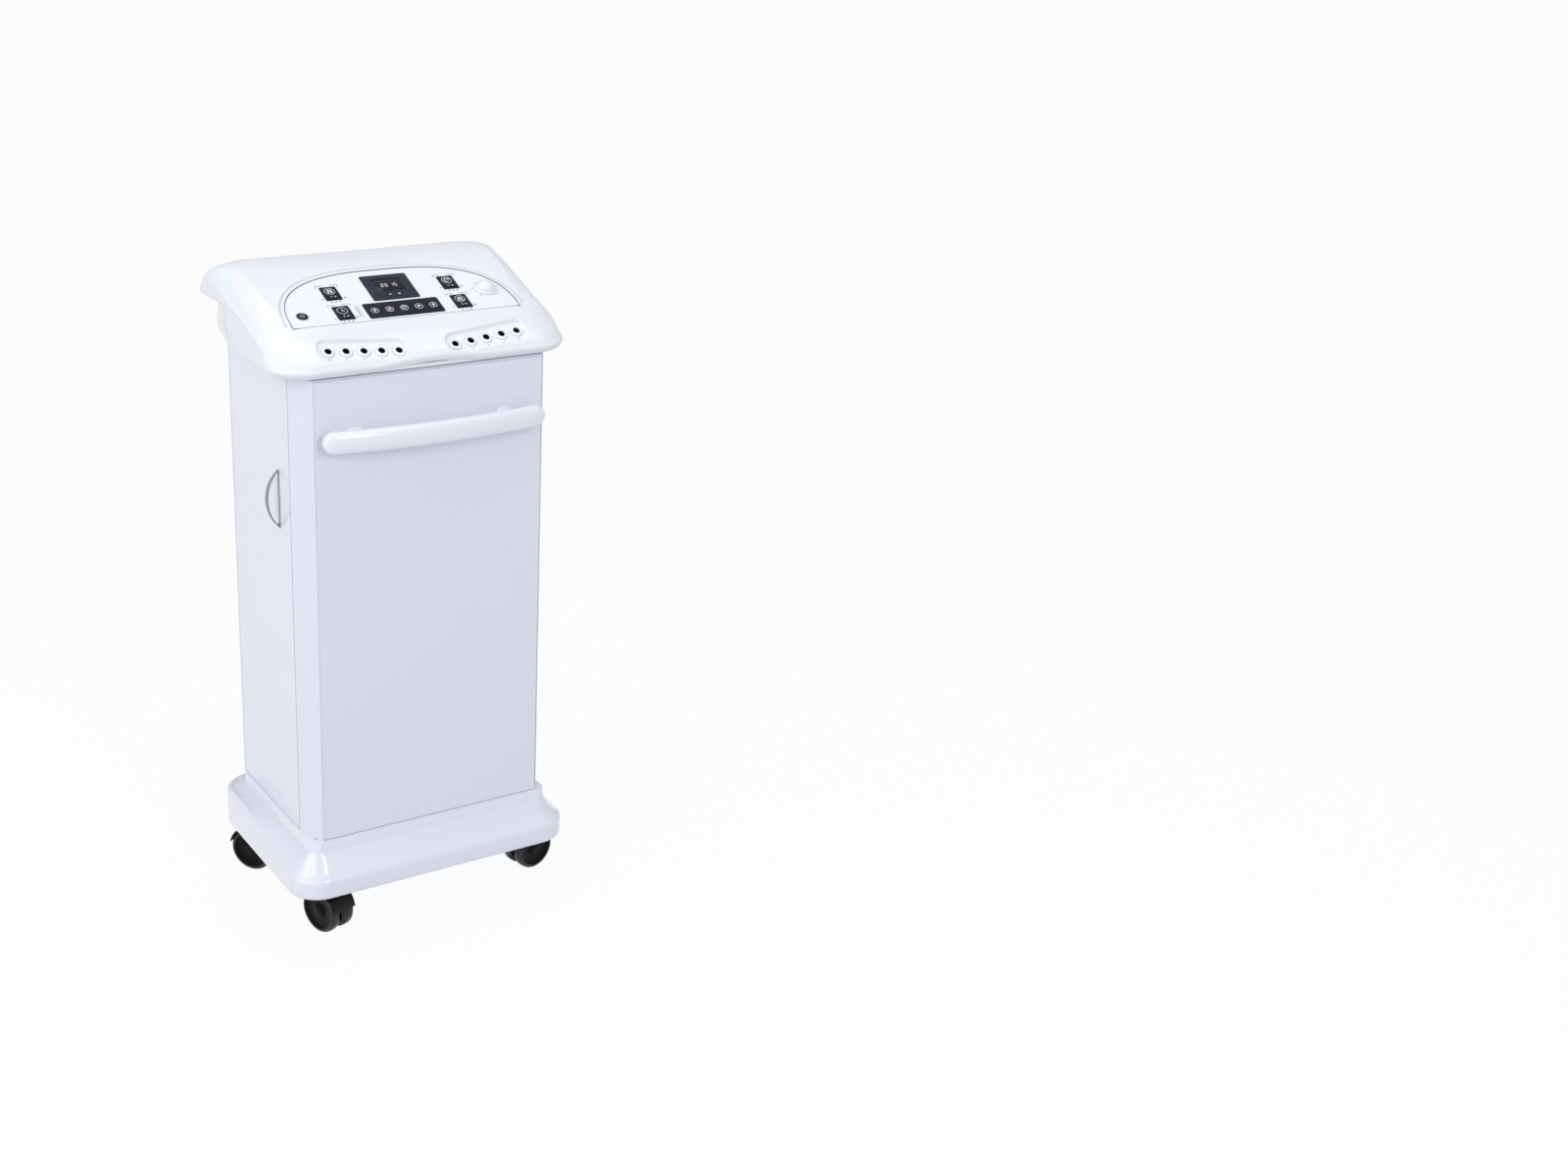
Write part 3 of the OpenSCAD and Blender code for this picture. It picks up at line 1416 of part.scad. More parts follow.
module jacks(s) {
  color(white_plastic) pod_frame(s) for (x = jack_pos) translate([x, 0, 0]) difference() {
    union() {
      rod_z(-pod_depth, -pod_depth + 2, jack_d);
      rod_z(-pod_depth - jack_reach, -pod_depth + eps, jack_body_d);
    }
    rod_z(-pod_depth - jack_reach + 3, over, jack_bore);
    translate([0, 0, -pod_depth + 1]) cylinder(h = 1 + over, d1 = jack_bore, d2 = jack_bore + 4);
  }
}

// ---------------------------------------------------------------- drawing

base_cover();
base_frame();
cabinet_shell();
front_panel();
front_handle();
handle_screws();
side_door();
door_pull();
door_hinge_pins();
door_catch();
equipment_shelf();
rear_panel();
rear_screws();
head_cover();
head_tray();
control_panel();
display_window();
keypad_plate();
module_plates();
power_key();
round_key(window_keys[0], display_key_d, 1);  // display_key_1
round_key(window_keys[1], display_key_d, 1);  // display_key_2
round_key(pad_keys[0], keypad_key_d, 1.5);  // keypad_key_1
round_key(pad_keys[1], keypad_key_d, 1.5);  // keypad_key_2
round_key(pad_keys[2], keypad_key_d, 1.5);  // keypad_key_3
round_key(pad_keys[3], keypad_key_d, 1.5);  // keypad_key_4
round_key(pad_keys[4], keypad_key_d, 1.5);  // keypad_key_5
module_key(module_keys[0]);  // module_key_1
module_key(module_keys[1]);  // module_key_2
module_key(module_keys[2]);  // module_key_3
module_key(module_keys[3]);  // module_key_4
level_knob();
knob_encoder();
jack_plate(-1);  // left_jack_plate
jack_plate(1);  // right_jack_plate
jacks(-1);  // left_jacks
jacks(1);  // right_jacks
main_board();
key_switches();
power_inlet();
power_switch();
air_manifold();
compressor_housing();
compressor_armature();
valve_block();
valve_rotor();
transformer();
fan_frame();
fan_rotor();
air_tubes();
castor_fork(0, turn_fl);  // castor_fork_fl
castor_fork(1, turn_fr);  // castor_fork_fr
castor_fork(2, turn_rl);  // castor_fork_rl
castor_fork(3, turn_rr);  // castor_fork_rr
castor_wheels(0, turn_fl);  // castor_wheels_fl
castor_wheels(1, turn_fr);  // castor_wheels_fr
castor_wheels(2, turn_rl);  // castor_wheels_rl
castor_wheels(3, turn_rr);  // castor_wheels_rr
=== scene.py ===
import math
import bpy
import bmesh
from mathutils import Matrix, Vector
from mathutils.bvhtree import BVHTree


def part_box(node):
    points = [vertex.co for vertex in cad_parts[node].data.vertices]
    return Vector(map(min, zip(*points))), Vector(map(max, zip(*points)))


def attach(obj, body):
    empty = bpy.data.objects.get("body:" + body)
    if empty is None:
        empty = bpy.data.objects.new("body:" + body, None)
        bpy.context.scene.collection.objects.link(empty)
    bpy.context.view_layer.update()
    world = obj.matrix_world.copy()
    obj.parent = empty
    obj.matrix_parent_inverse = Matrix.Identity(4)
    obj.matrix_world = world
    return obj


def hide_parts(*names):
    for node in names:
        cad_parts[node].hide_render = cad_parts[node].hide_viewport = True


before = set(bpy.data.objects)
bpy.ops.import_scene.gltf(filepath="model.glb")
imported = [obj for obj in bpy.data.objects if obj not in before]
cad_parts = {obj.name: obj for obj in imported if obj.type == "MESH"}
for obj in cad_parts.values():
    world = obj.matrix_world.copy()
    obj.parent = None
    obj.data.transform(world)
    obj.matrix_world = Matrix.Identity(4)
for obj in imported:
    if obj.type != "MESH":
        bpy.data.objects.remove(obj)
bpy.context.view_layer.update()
MM = 0.001

# ---------------------------------------------------------------- materials


def srgb(r, g, b):
    """Linear colour of an sRGB triple, each 0 to 255."""
    def lin(c):
        c /= 255
        return c / 12.92 if c <= 0.04045 else ((c + 0.055) / 1.055) ** 2.4
    return (lin(r), lin(g), lin(b), 1)


MATERIALS = {}


def set_inputs(node, **values):
    """Sets inputs of the node. An underscore in a name stands for a space."""
    for key, value in values.items():
        node.inputs[key.replace("_", " ")].default_value = value


def new_node(tree, kind, **values):
    node = tree.nodes.new("ShaderNode" + kind)
    set_inputs(node, **values)
    return node


def material(name, colour, rough=0.4, metal=0.0, coat=0.0, coat_rough=0.06, grain=0.0, grain_mm=0.5, wave=0.0,
             wave_mm=60, mottle=0.03, mottle_mm=90, rough_var=0.05, brush=None, smudge=0.0, spec=0.5):
    """Procedural surface: fine grain and slow waviness as bump, slight mottling of the colour,
    and a roughness that varies over the surface."""
    mat = bpy.data.materials.new(name)
    mat.use_nodes = True
    tree = mat.node_tree
    link = tree.links.new
    shader = tree.nodes["Principled BSDF"]
    set_inputs(shader, Metallic=metal, Coat_Weight=coat, Coat_Roughness=coat_rough, Specular_IOR_Level=spec)
    place = fine_place = new_node(tree, "TexCoord").outputs["Object"]
    if brush:
        stretch = new_node(tree, "Mapping", Scale=brush)
        link(place, stretch.inputs["Vector"])
        fine_place = stretch.outputs["Vector"]

    def noise(vector, size_mm, detail=2.0):
        tex = new_node(tree, "TexNoise", Scale=1000 / size_mm, Detail=detail)
        link(vector, tex.inputs["Vector"])
        return tex.outputs["Fac"]

    def mapped(value, **limits):
        ramp = new_node(tree, "MapRange", **limits)
        link(value, ramp.inputs["Value"])
        return ramp.outputs["Result"]

    # Colour
    tone = tree.nodes.new("ShaderNodeMix")
    tone.data_type = "RGBA"
    tone.inputs["A"].default_value = tuple(c * (1 - mottle) for c in colour[:3]) + (1,)
    tone.inputs["B"].default_value = colour
    link(mapped(noise(place, mottle_mm, 1.5), From_Min=0.35, From_Max=0.65), tone.inputs["Factor"])
    link(tone.outputs["Result"], shader.inputs["Base Color"])
    # Roughness
    gloss = mapped(noise(fine_place, 3 if brush else 45), From_Min=0.3, From_Max=0.7,
                   To_Min=max(0.02, rough - rough_var), To_Max=rough + rough_var + smudge)
    link(gloss, shader.inputs["Roughness"])
    # Bump
    last = None
    for strength, size, vector, depth in ((wave, wave_mm, place, 0.4), (grain, grain_mm, fine_place, 0.05)):
        if strength > 0:
            bump = new_node(tree, "Bump", Strength=strength, Distance=depth * MM)
            link(noise(vector, size), bump.inputs["Height"])
            if last:
                link(last.outputs["Normal"], bump.inputs["Normal"])
            last = bump
    if last:
        link(last.outputs["Normal"], shader.inputs["Normal"])
    MATERIALS[name] = mat


PAINT = dict(coat=0.5, coat_rough=0.05, grain=0.35, grain_mm=1.1, wave=0.1, mottle=0.008, mottle_mm=260,
             rough_var=0.04)
material("cabinet_paint", srgb(231, 233, 242), rough=0.34, wave_mm=120, **PAINT)
material("door_paint", srgb(233, 235, 244), rough=0.32, wave_mm=110, **PAINT)
material("cover_plastic", srgb(237, 238, 243), rough=0.33, coat=0.25, mottle=0.003, mottle_mm=240,
         rough_var=0.012)
material("base_plastic", srgb(233, 234, 244), rough=0.3, coat=1.0, coat_rough=0.03, mottle=0.004,
         mottle_mm=240, rough_var=0.015)
material("handle_plastic", srgb(240, 241, 248), rough=0.2, coat=0.5, mottle=0.004, mottle_mm=120,
         rough_var=0.015)
material("panel_film", srgb(240, 241, 247), rough=0.3, grain=0.4, grain_mm=0.35, mottle=0.005, mottle_mm=160,
         rough_var=0.03)
material("seal_grey", srgb(92, 96, 112), rough=0.5, grain=0.3, grain_mm=0.3, mottle=0.05)
# Grey of the strip in the bottom of the groove round the panel: painted shade of the groove, darker than the
# white around it
material("painted_groove_shade", srgb(202, 206, 224), rough=0.4, grain=0.2, grain_mm=0.4, mottle=0.02)
material("screen_frame", srgb(44, 44, 62), rough=0.16, mottle=0.05, rough_var=0.04, smudge=0.04, spec=0.2)
material("screen_glass", srgb(14, 15, 28), rough=0.08, mottle=0.04, rough_var=0.03, smudge=0.04, spec=0.3)
material("key_film", srgb(19, 20, 36), rough=0.32, grain=0.5, grain_mm=0.35, mottle=0.06,
         rough_var=0.05, spec=0.18)
material("key_cap", srgb(22, 23, 38), rough=0.38, grain=0.6, grain_mm=0.3, mottle=0.08,
         rough_var=0.06, spec=0.2)
material("button_grey", srgb(120, 122, 134), rough=0.3, grain=0.4, grain_mm=0.3, mottle=0.06)
material("white_print", srgb(233, 235, 242), rough=0.45, grain=0.2, grain_mm=0.3, mottle=0.03)
material("dark_print", srgb(58, 61, 76), rough=0.5, grain=0.2, grain_mm=0.3, mottle=0.05)
material("knob_plastic", srgb(237, 238, 245), rough=0.22, coat=0.3, grain=0.15, grain_mm=0.5, mottle=0.015)
material("jack_white", srgb(241, 242, 248), rough=0.18, coat=0.4, grain=0.1, grain_mm=0.5, mottle=0.012)
material("socket_black", srgb(16, 16, 19), rough=0.5, grain=0.4, grain_mm=0.3, mottle=0.1)
material("black_plastic", srgb(25, 25, 28), rough=0.36, grain=0.5, grain_mm=0.5, mottle=0.12, rough_var=0.08)
material("castor_black", srgb(13, 13, 15), rough=0.27, grain=0.25, grain_mm=0.6, mottle=0.15,
         rough_var=0.08, smudge=0.08, spec=0.3)
material("castor_tread", srgb(50, 49, 55), rough=0.45, grain=0.6, grain_mm=0.5, mottle=0.2,
         rough_var=0.1, spec=0.3)
material("hub_grey", srgb(9, 9, 10), rough=0.36, grain=0.2, grain_mm=0.6, mottle=0.05,
         rough_var=0.04, spec=0.1)
material("pull_chrome", srgb(150, 152, 160), rough=0.09, metal=1.0, mottle=0.03, rough_var=0.03, smudge=0.06)
material("zinc_steel", srgb(172, 175, 182), rough=0.34, metal=1.0, grain=0.4, grain_mm=0.6,
         brush=(1, 12, 12), mottle=0.12, rough_var=0.08)
material("cast_alloy", srgb(178, 180, 184), rough=0.5, metal=0.9, grain=0.9, grain_mm=0.9, mottle=0.1,
         rough_var=0.1)
material("circuit_board", srgb(30, 92, 52), rough=0.3, grain=0.4, grain_mm=0.8, mottle=0.2, rough_var=0.06)
material("air_tube", srgb(150, 160, 176), rough=0.33, coat=0.2, grain=0.2, grain_mm=0.5, mottle=0.06)

# ---------------------------------------------------------------- mesh helpers

IDENTITY = Matrix.Identity(4)


def turn(angle, axis):
    return Matrix.Rotation(math.radians(angle), 4, axis)


def shift(x, y, z):
    return Matrix.Translation((x, y, z))


def ease(t):
    t = min(1.0, max(0.0, t))
    return t * t * (3 - 2 * t)


def circle(r, n=48, cx=0.0, cy=0.0):
    angles = [2 * math.pi * i / n for i in range(n)]
    return [(cx + r * math.cos(a), cy + r * math.sin(a)) for a in angles]


def corner_arc(cx, cy, r, a0, a1, n):
    """Arc of n steps about (cx, cy), from one angle to the other in degrees."""
    out = []
    for i in range(n + 1):
        a = math.radians(a0 + (a1 - a0) * i / n)
        out.append((cx + r * math.cos(a), cy + r * math.sin(a)))
    return out


def round_rect(w, h, r, cx=0.0, cy=0.0, n=6):
    out = []
    for sx, sy, a in ((1, -1, -90), (1, 1, 0), (-1, 1, 90), (-1, -1, 180)):
        out += corner_arc(cx + sx * (w / 2 - r), cy + sy * (h / 2 - r), r, a, a + 90, n)
    return out


MOON_POWER = 2.7


def moon(hw, h, n=90):
    """Upper half of a superellipse on a straight base."""
    out = []
    for i in range(n + 1):
        a = math.pi * i / n
        c, s = math.cos(a), max(0.0, math.sin(a))
        out.append((hw * math.copysign(abs(c) ** (2 / MOON_POWER), c), h * s ** (2 / MOON_POWER)))
    return out + [(-hw + 2 * hw * i / 12, 0.0) for i in range(1, 12)]


def inset(outline, d):
    """The closed outline, anticlockwise, drawn in by d."""
    out = []
    n = len(outline)
    for i in range(n):
        a, b, c = Vector(outline[i - 1]), Vector(outline[i]), Vector(outline[(i + 1) % n])
        e, f = (b - a), (c - b)
        if e.length < 1e-9:
            e = f
        if f.length < 1e-9:
            f = e
        e, f = e.normalized(), f.normalized()
        m = Vector((-(e.y + f.y), e.x + f.x))
        if m.length < 1e-6:
            m = Vector((-e.y, e.x))
        m.normalize()
        k = max(0.5, m.dot(Vector((-e.y, e.x))))
        out.append((b.x + m.x * d / k, b.y + m.y * d / k))
    return out


def flat(outline, z):
    return [(x, y, z) for x, y in outline]


def put(bm, points, matrix=IDENTITY):
    return [bm.verts.new(matrix @ (Vector(p) * MM)) for p in points]


def loft(bm, rings, matrix=IDENTITY, cap_start=True, loop=False):
    """Surface through closed rings of equally many points, in millimetres. A loop has no ends to cap."""
    made = [put(bm, r, matrix) for r in rings]
    n = len(made[0])
    pairs = list(zip(made, made[1:]))
    if loop:
        pairs.append((made[-1], made[0]))
    for a, b in pairs:
        for i in range(n):
            j = (i + 1) % n
            bm.faces.new((a[i], a[j], b[j], b[i]))
    if not loop:
        if cap_start:
            bm.faces.new(list(reversed(made[0])))
        bm.faces.new(made[-1])


def lathe(bm, profile, matrix=IDENTITY, n=64, loop=False):
    """Turns (radius, height) points about Z. An end on the axis closes to a point."""
    rings = []
    for r, z in profile:
        rings.append(put(bm, [(0, 0, z)] if r < 1e-6 else flat(circle(r, n), z), matrix))
    pairs = list(zip(rings, rings[1:]))
    if loop:
        pairs.append((rings[-1], rings[0]))
    for a, b in pairs:
        for i in range(n):
            j = (i + 1) % n
            if len(a) == 1 and len(b) == 1:
                continue
            if len(a) == 1:
                bm.faces.new((a[0], b[j], b[i]))
            elif len(b) == 1:
                bm.faces.new((a[i], a[j], b[0]))
            else:
                bm.faces.new((a[i], a[j], b[j], b[i]))
    if not loop:
        if len(rings[0]) > 1:
            bm.faces.new(list(reversed(rings[0])))
        if len(rings[-1]) > 1:
            bm.faces.new(rings[-1])


def plate(bm, outline, z0, z1, r=0.3, matrix=IDENTITY, steps=3, r_bottom=0.0):
    """Flat plate with rounded top edges, and bottom edges if r_bottom is given."""
    rings = []
    if r_bottom:
        for i in range(steps + 1):
            a = math.pi / 2 * i / steps
            inward, upward = r_bottom * (1 - math.sin(a)), r_bottom * (1 - math.cos(a))
            rings.append(flat(inset(outline, inward), z0 + upward))
    else:
        rings.append(flat(outline, z0))
    for i in range(steps + 1):
        a = math.pi / 2 * i / steps
        rings.append(flat(inset(outline, r * (1 - math.cos(a))), z1 - r + r * math.sin(a)))
    loft(bm, rings, matrix)


def box(bm, lo, hi, r=0.5, matrix=IDENTITY):
    """Box with all its edges rounded, from corner to corner in millimetres."""
    w, h = hi[0] - lo[0], hi[1] - lo[1]
    r = min(r, 0.45 * min(w, h, hi[2] - lo[2]))
    cx, cy = (lo[0] + hi[0]) / 2, (lo[1] + hi[1]) / 2
    plate(bm, round_rect(w, h, r, cx, cy, 3), lo[2], hi[2], r * 0.95, matrix, r_bottom=r * 0.95)


def sweep(bm, path, section, matrix=IDENTITY, up=(0, 0, 1), scale=None, loop=False):
    """Carries a closed section (u sideways, v upwards) along a path."""
    rings = []
    n = len(path)
    for i, p in enumerate(path):
        if loop:
            a, b = Vector(path[i - 1]), Vector(path[(i + 1) % n])
        else:
            a, b = Vector(path[max(i - 1, 0)]), Vector(path[min(i + 1, n - 1)])
        t = (b - a).normalized()
        side = Vector(up).cross(t).normalized()
        top = t.cross(side)
        k = scale[i] if scale else 1
        rings.append([Vector(p) + side * u * k + top * v * k for u, v in section])
    loft(bm, rings, matrix, loop=loop)


SHARP_ANGLE = 32


def add_object(name, bm):
    """Puts an object of the mesh into the scene."""
    me = bpy.data.meshes.new(name)
    bm.to_mesh(me)
    bm.free()
    ob = bpy.data.objects.new(name, me)
    bpy.context.scene.collection.objects.link(ob)
    return ob


def finish_piece(name, bm, mat, body, nodes=(), angle=SHARP_ANGLE):
    """Turns the mesh into a piece with smooth shading and sharp edges above the angle."""
    bmesh.ops.remove_doubles(bm, verts=bm.verts, dist=1e-7)
    bmesh.ops.recalc_face_normals(bm, faces=bm.faces)
    ob = add_object(name, bm)
    ob.data.materials.append(MATERIALS[mat])
    shade(ob, angle)
    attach(ob, body)
    if nodes:
        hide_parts(*nodes)
    return ob


def shade(ob, angle=SHARP_ANGLE):
    """Smooth shading, with sharp edges above the angle."""
    bm = bmesh.new()
    bm.from_mesh(ob.data)
    limit = math.radians(angle)
    for f in bm.faces:
        f.smooth = True
    for e in bm.edges:
        e.smooth = len(e.link_faces) == 2 and e.calc_face_angle(0) < limit
    bm.to_mesh(ob.data)
    bm.free()


def bake(ob):
    """Applies the piece's modifiers to its mesh."""
    graph = bpy.context.evaluated_depsgraph_get()
    me = bpy.data.meshes.new_from_object(ob.evaluated_get(graph))
    ob.modifiers.clear()
    old = ob.data
    ob.data = me
    bpy.data.meshes.remove(old)


def softened(node, mat, body, r, pick=None, r_pick=0.0):
    """Copy of a CAD node with its edges rounded. Edges that pick() chooses get r_pick."""
    bm = bmesh.new()
    bm.from_mesh(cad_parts[node].data)
    bmesh.ops.remove_doubles(bm, verts=bm.verts, dist=2e-6)
    bmesh.ops.dissolve_limit(bm, angle_limit=math.radians(0.6), verts=bm.verts, edges=bm.edges)

    def bevel(chosen, size):
        edges = [e for e in bm.edges if len(e.link_faces) == 2 and chosen(e)]
        bmesh.ops.bevel(bm, geom=edges, offset=size * MM, offset_type="OFFSET", segments=2,
                        profile=0.5, affect="EDGES", clamp_overlap=True)
    if pick:
        bevel(pick, r_pick)
    bevel(lambda e: e.calc_face_angle(0) > math.radians(30), r)
    bmesh.ops.triangulate(bm, faces=[f for f in bm.faces if len(f.verts) > 4])
    piece = finish_piece(node + "_shape", bm, mat, body, [node], angle=28)
    # The large faces set the shading, so that flat panels look flat beside their rounded edges
    mod = piece.modifiers.new("even_normals", "WEIGHTED_NORMAL")
    mod.keep_sharp = True
    mod.weight = 90
    bake(piece)


def cut(ob, tools, angle=SHARP_ANGLE):
    """Takes the tools' shapes out of the piece and shades it again."""
    for tool in tools:
        mod = ob.modifiers.new("cut", "BOOLEAN")
        mod.operation = "DIFFERENCE"
        mod.solver = "EXACT"
        mod.object = tool
    bake(ob)
    for tool in tools:
        bpy.data.objects.remove(tool)
    shade(ob, angle)


def cutter(bm):
    """Tool for cut() from the mesh."""
    bmesh.ops.recalc_face_normals(bm, faces=bm.faces)
    return add_object("cutter", bm)


def punch(outline, z0, z1, matrix):
    """Straight tool of the outline's shape for cut()."""
    bm = bmesh.new()
    loft(bm, [flat(outline, z0), flat(outline, z1)], matrix)
    return cutter(bm)


# ---------------------------------------------------------------- sizes, as in the frame

HALF_W, HALF_D = 206.0, 146.0
BASE_Z, FLOOR_Z, TOP_Z, RIM_Z = 85.0, 172.0, 932.0, 937.0
# Control panel: where its base line lies, its slope, half width and height, and the groove's distance
PANEL_Y, PANEL_Z, PANEL_SLOPE = -76.0, 992.0, 21.0
PANEL_HW, PANEL_H, GROOVE = 187.0, 128.0, 7.5
PANEL = shift(0, PANEL_Y * MM, PANEL_Z * MM) @ turn(PANEL_SLOPE, "X")
# Jack recesses: place, tilt, turn and shape, and the spacing of the jacks
POD_X, POD_Y, POD_Z, POD_TILT, POD_TURN = 100.0, -130.0, 965.5, 35.0, 6.3
POD_W, POD_H, POD_DEPTH, POD_R = 142.0, 41.0, 4.0, 12.0
JACKS = [(i - 2) * 27.2 for i in range(5)]


def pod(s):
    return shift(s * POD_X * MM, POD_Y * MM, POD_Z * MM) @ turn(POD_TILT, "X") @ turn(s * POD_TURN, "Z")


# ---------------------------------------------------------------- head

# Wall, and the blunted lower edge of the rim
HEAD_WALL, RIM_EDGE = 3.0, 0.9
# Rim: how far out at the sides, and how much it narrows to the rear. Lip: how much it widens, how high
RIM_OUT, RIM_TAPER, LIP_OUT, LIP_UP = 35.0, 24.0, 6.0, 63.0
# Rings from the rim to the cap. Each gives how far it stands out at the sides, how much it narrows to the
# rear, how far it stands out in front and behind, its front and rear corner radii, its height above the
# rim in front and behind, and the depths, from the front, between which the one height becomes the other
HEAD_RINGS = [
    (RIM_OUT, RIM_TAPER, 5, 5, 58, 12, 0, 0, 0, 100),
    (RIM_OUT + 3, RIM_TAPER, 8, 7, 60, 12, 8, 12, 26, 190),
    (RIM_OUT + 2, RIM_TAPER, 4, 7, 62, 12, 14, LIP_UP - 7, 26, 190),
    (RIM_OUT, -LIP_OUT, -1, 7, 64, 12, 20, LIP_UP, 26, 190),
    (RIM_OUT - 1, -LIP_OUT, -12, 7, 66, 16, 27.5, LIP_UP + 15, 16, 246),
    (RIM_OUT - 5, -LIP_OUT + 2, -22, 5, 68, 24, 33, 94, 6, 296),
    (RIM_OUT - 16, 0, -34, -6, 70, 34, 38, 107, -4, 286),
    (RIM_OUT - 33, 0, -48, -32, 70, 48, 35, 114, -24, 276),
]
# Depths between which the sides narrow
TAPER_FROM, TAPER_TO = 20.0, 170.0
# Flat cap that holds the panel. It runs CAP_REACH up the slope from the panel's base line
CAP_HW, CAP_R, CAP_REACH = 196.0, 62.0, 137.0
CAP_YF, CAP_YR = -85.0, PANEL_Y + CAP_REACH * math.cos(math.radians(PANEL_SLOPE))


def ring_outline(hw, yf, yr, rf, rr):
    """Rounded rectangle from its front left, with many points along each side."""
    def line(p, q, n):
        return [(p[0] + (q[0] - p[0]) * i / n, p[1] + (q[1] - p[1]) * i / n) for i in range(1, n)]
    out = corner_arc(-hw + rf, yf + rf, rf, 180, 270, 18)
    out += line((-hw + rf, yf), (hw - rf, yf), 70)
    out += corner_arc(hw - rf, yf + rf, rf, 270, 360, 18)
    out += line((hw, yf + rf), (hw, yr - rr), 56)
    out += corner_arc(hw - rr, yr - rr, rr, 0, 90, 14)
    out += line((hw - rr, yr), (-hw + rr, yr), 50)
    out += corner_arc(-hw + rr, yr - rr, rr, 90, 180, 14)
    out += line((-hw, yr - rr), (-hw, yf + rf), 56)
    return out


def head_ring(i, d):
    """Ring i of the head, drawn in by d. The lowest three bow up and out at the middle of the front."""
    out_w, taper, front, rear, rf, rr, zf, zr, y0, y1 = HEAD_RINGS[i]
    hw = HALF_W + out_w - d
    yf, yr = -HALF_D - front + d, HALF_D + rear - d
    if d and i < 4:
        taper = max(taper, RIM_TAPER)
    points = []
    for x, y in ring_outline(hw, yf, yr, rf - d, rr - d):
        up = zf + (zr - zf) * ease((y + HALF_D - y0) / (y1 - y0))
        k = 1 - taper / hw * ease((y - TAPER_FROM) / (TAPER_TO - TAPER_FROM))
        bow = math.cos(math.radians(min(90, abs(x) * 90 / 85))) if i < 3 and y <= yf + 1 else 0
        points.append(Vector((x * k, y - 1.5 * bow, RIM_Z + up + 6 * bow)))
    return points


def cap_height(y):
    """Height of the flat cap above the rim."""
    return PANEL_Z - RIM_Z + (y - PANEL_Y) * math.tan(math.radians(PANEL_SLOPE))


def cap_ring(d):
    return [Vector((x, y, RIM_Z + cap_height(y)))
            for x, y in ring_outline(CAP_HW - d, CAP_YF + d, CAP_YR - d, CAP_R - d, CAP_R - d)]


def spline(p0, p1, p2, p3, t):
    """Centripetal spline between p1 and p2."""
    def knot(a, b):
        return max(1e-4, (b - a).length) ** 0.5
    t1 = knot(p0, p1)
    t2 = t1 + knot(p1, p2)
    t3 = t2 + knot(p2, p3)
    u = t1 + (t2 - t1) * t
    a1 = p0 * ((t1 - u) / t1) + p1 * (u / t1)
    a2 = p1 * ((t2 - u) / (t2 - t1)) + p2 * ((u - t1) / (t2 - t1))
    a3 = p2 * ((t3 - u) / (t3 - t2)) + p3 * ((u - t2) / (t3 - t2))
    b1 = a1 * ((t2 - u) / t2) + a2 * (u / t2)
    b2 = a2 * ((t3 - u) / (t3 - t1)) + a3 * ((u - t1) / (t3 - t1))
    return b1 * ((t2 - u) / (t2 - t1)) + b2 * ((u - t1) / (t2 - t1))


# Hollow for the fingers below each side lip: its centre, half sizes and depth
SCOOP_Y, SCOOP_Z, SCOOP_A, SCOOP_B, SCOOP_DEPTH = 12.0, 991.0, 72.0, 47.0, 6.0
# It lies further out than SCOOP_X and below LIP_Z, and fades in from FADE_FROM over a depth of FADE_OVER
SCOOP_X, LIP_Z, FADE_FROM, FADE_OVER = 200.0, 1000.0, -46.0, 90.0
# Shallow dip on top at the back: its centre, half sizes and depth
DIP_Y, DIP_A, DIP_B, DIP_DEPTH = 104.0, 105.0, 40.0, 2.2


def shape_head(p):
    """Presses the finger hollows and the shallow dip at the back into a point of the head."""
    x, y, z = p
    if abs(x) > SCOOP_X and z < LIP_Z:
        q = math.hypot((y - SCOOP_Y) / SCOOP_A, (z - SCOOP_Z) / SCOOP_B)
        edge = ease((1 - q) * 9)
        fade = ease((y - FADE_FROM) / FADE_OVER) * ease((LIP_Z - z) / 12)
        x -= math.copysign(SCOOP_DEPTH * edge * fade, x)
    dip = math.hypot(x / DIP_A, (y - DIP_Y) / DIP_B)
    if z > LIP_Z and dip < 1:
        z -= DIP_DEPTH * (1 - ease(dip))
    return Vector((x, y, z))


def head_surface():
    """Outer rings of the head, from the rim to the flat cap."""
    table = [head_ring(i, 0) for i in range(len(HEAD_RINGS))] + [cap_ring(0)]
    n = len(table[0])
    below = [p + Vector((0, 0, -8)) for p in table[0]]
    beyond = cap_ring(22)
    chain = [below] + table + [beyond]
    steps = (3, 7, 5, 5, 5, 5, 5, 4)
    rings = []
    for i, m in enumerate(steps):
        p0, p1, p2, p3 = chain[i:i + 4]
        for k in range(m):
            rings.append([spline(p0[j], p1[j], p2[j], p3[j], k / m) for j in range(n)])
    rings.append(table[-1])
    lo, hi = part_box("head_cover")
    out = []
    for r in rings:
        ring = []
        for p in r:
            p = shape_head(p)
            ring.append(Vector([min(max(c, a / MM), b / MM) for c, a, b in zip(p, lo, hi)]))
        out.append(ring)
    return out


def pod_outline(s):
    """Jack recess: round inner end, outer corners of radius POD_R, points along its edges."""
    x0, x1, hh = (POD_H - POD_W) / 2, POD_W / 2 - POD_R, POD_H / 2
    edge = [x0 + (x1 - x0) * i / 16 for i in range(1, 16)]
    out = corner_arc(x0, 0, hh, 90, 270, 28) + [(x, -hh) for x in edge]
    out += corner_arc(x1, POD_R - hh, POD_R, 270, 360, 10) + [(POD_W / 2, y) for y in (-5, 0, 5)]
    out += corner_arc(x1, hh - POD_R, POD_R, 0, 90, 10) + [(x, hh) for x in reversed(edge)]
    return out if s > 0 else [(-x, y) for x, y in reversed(out)]


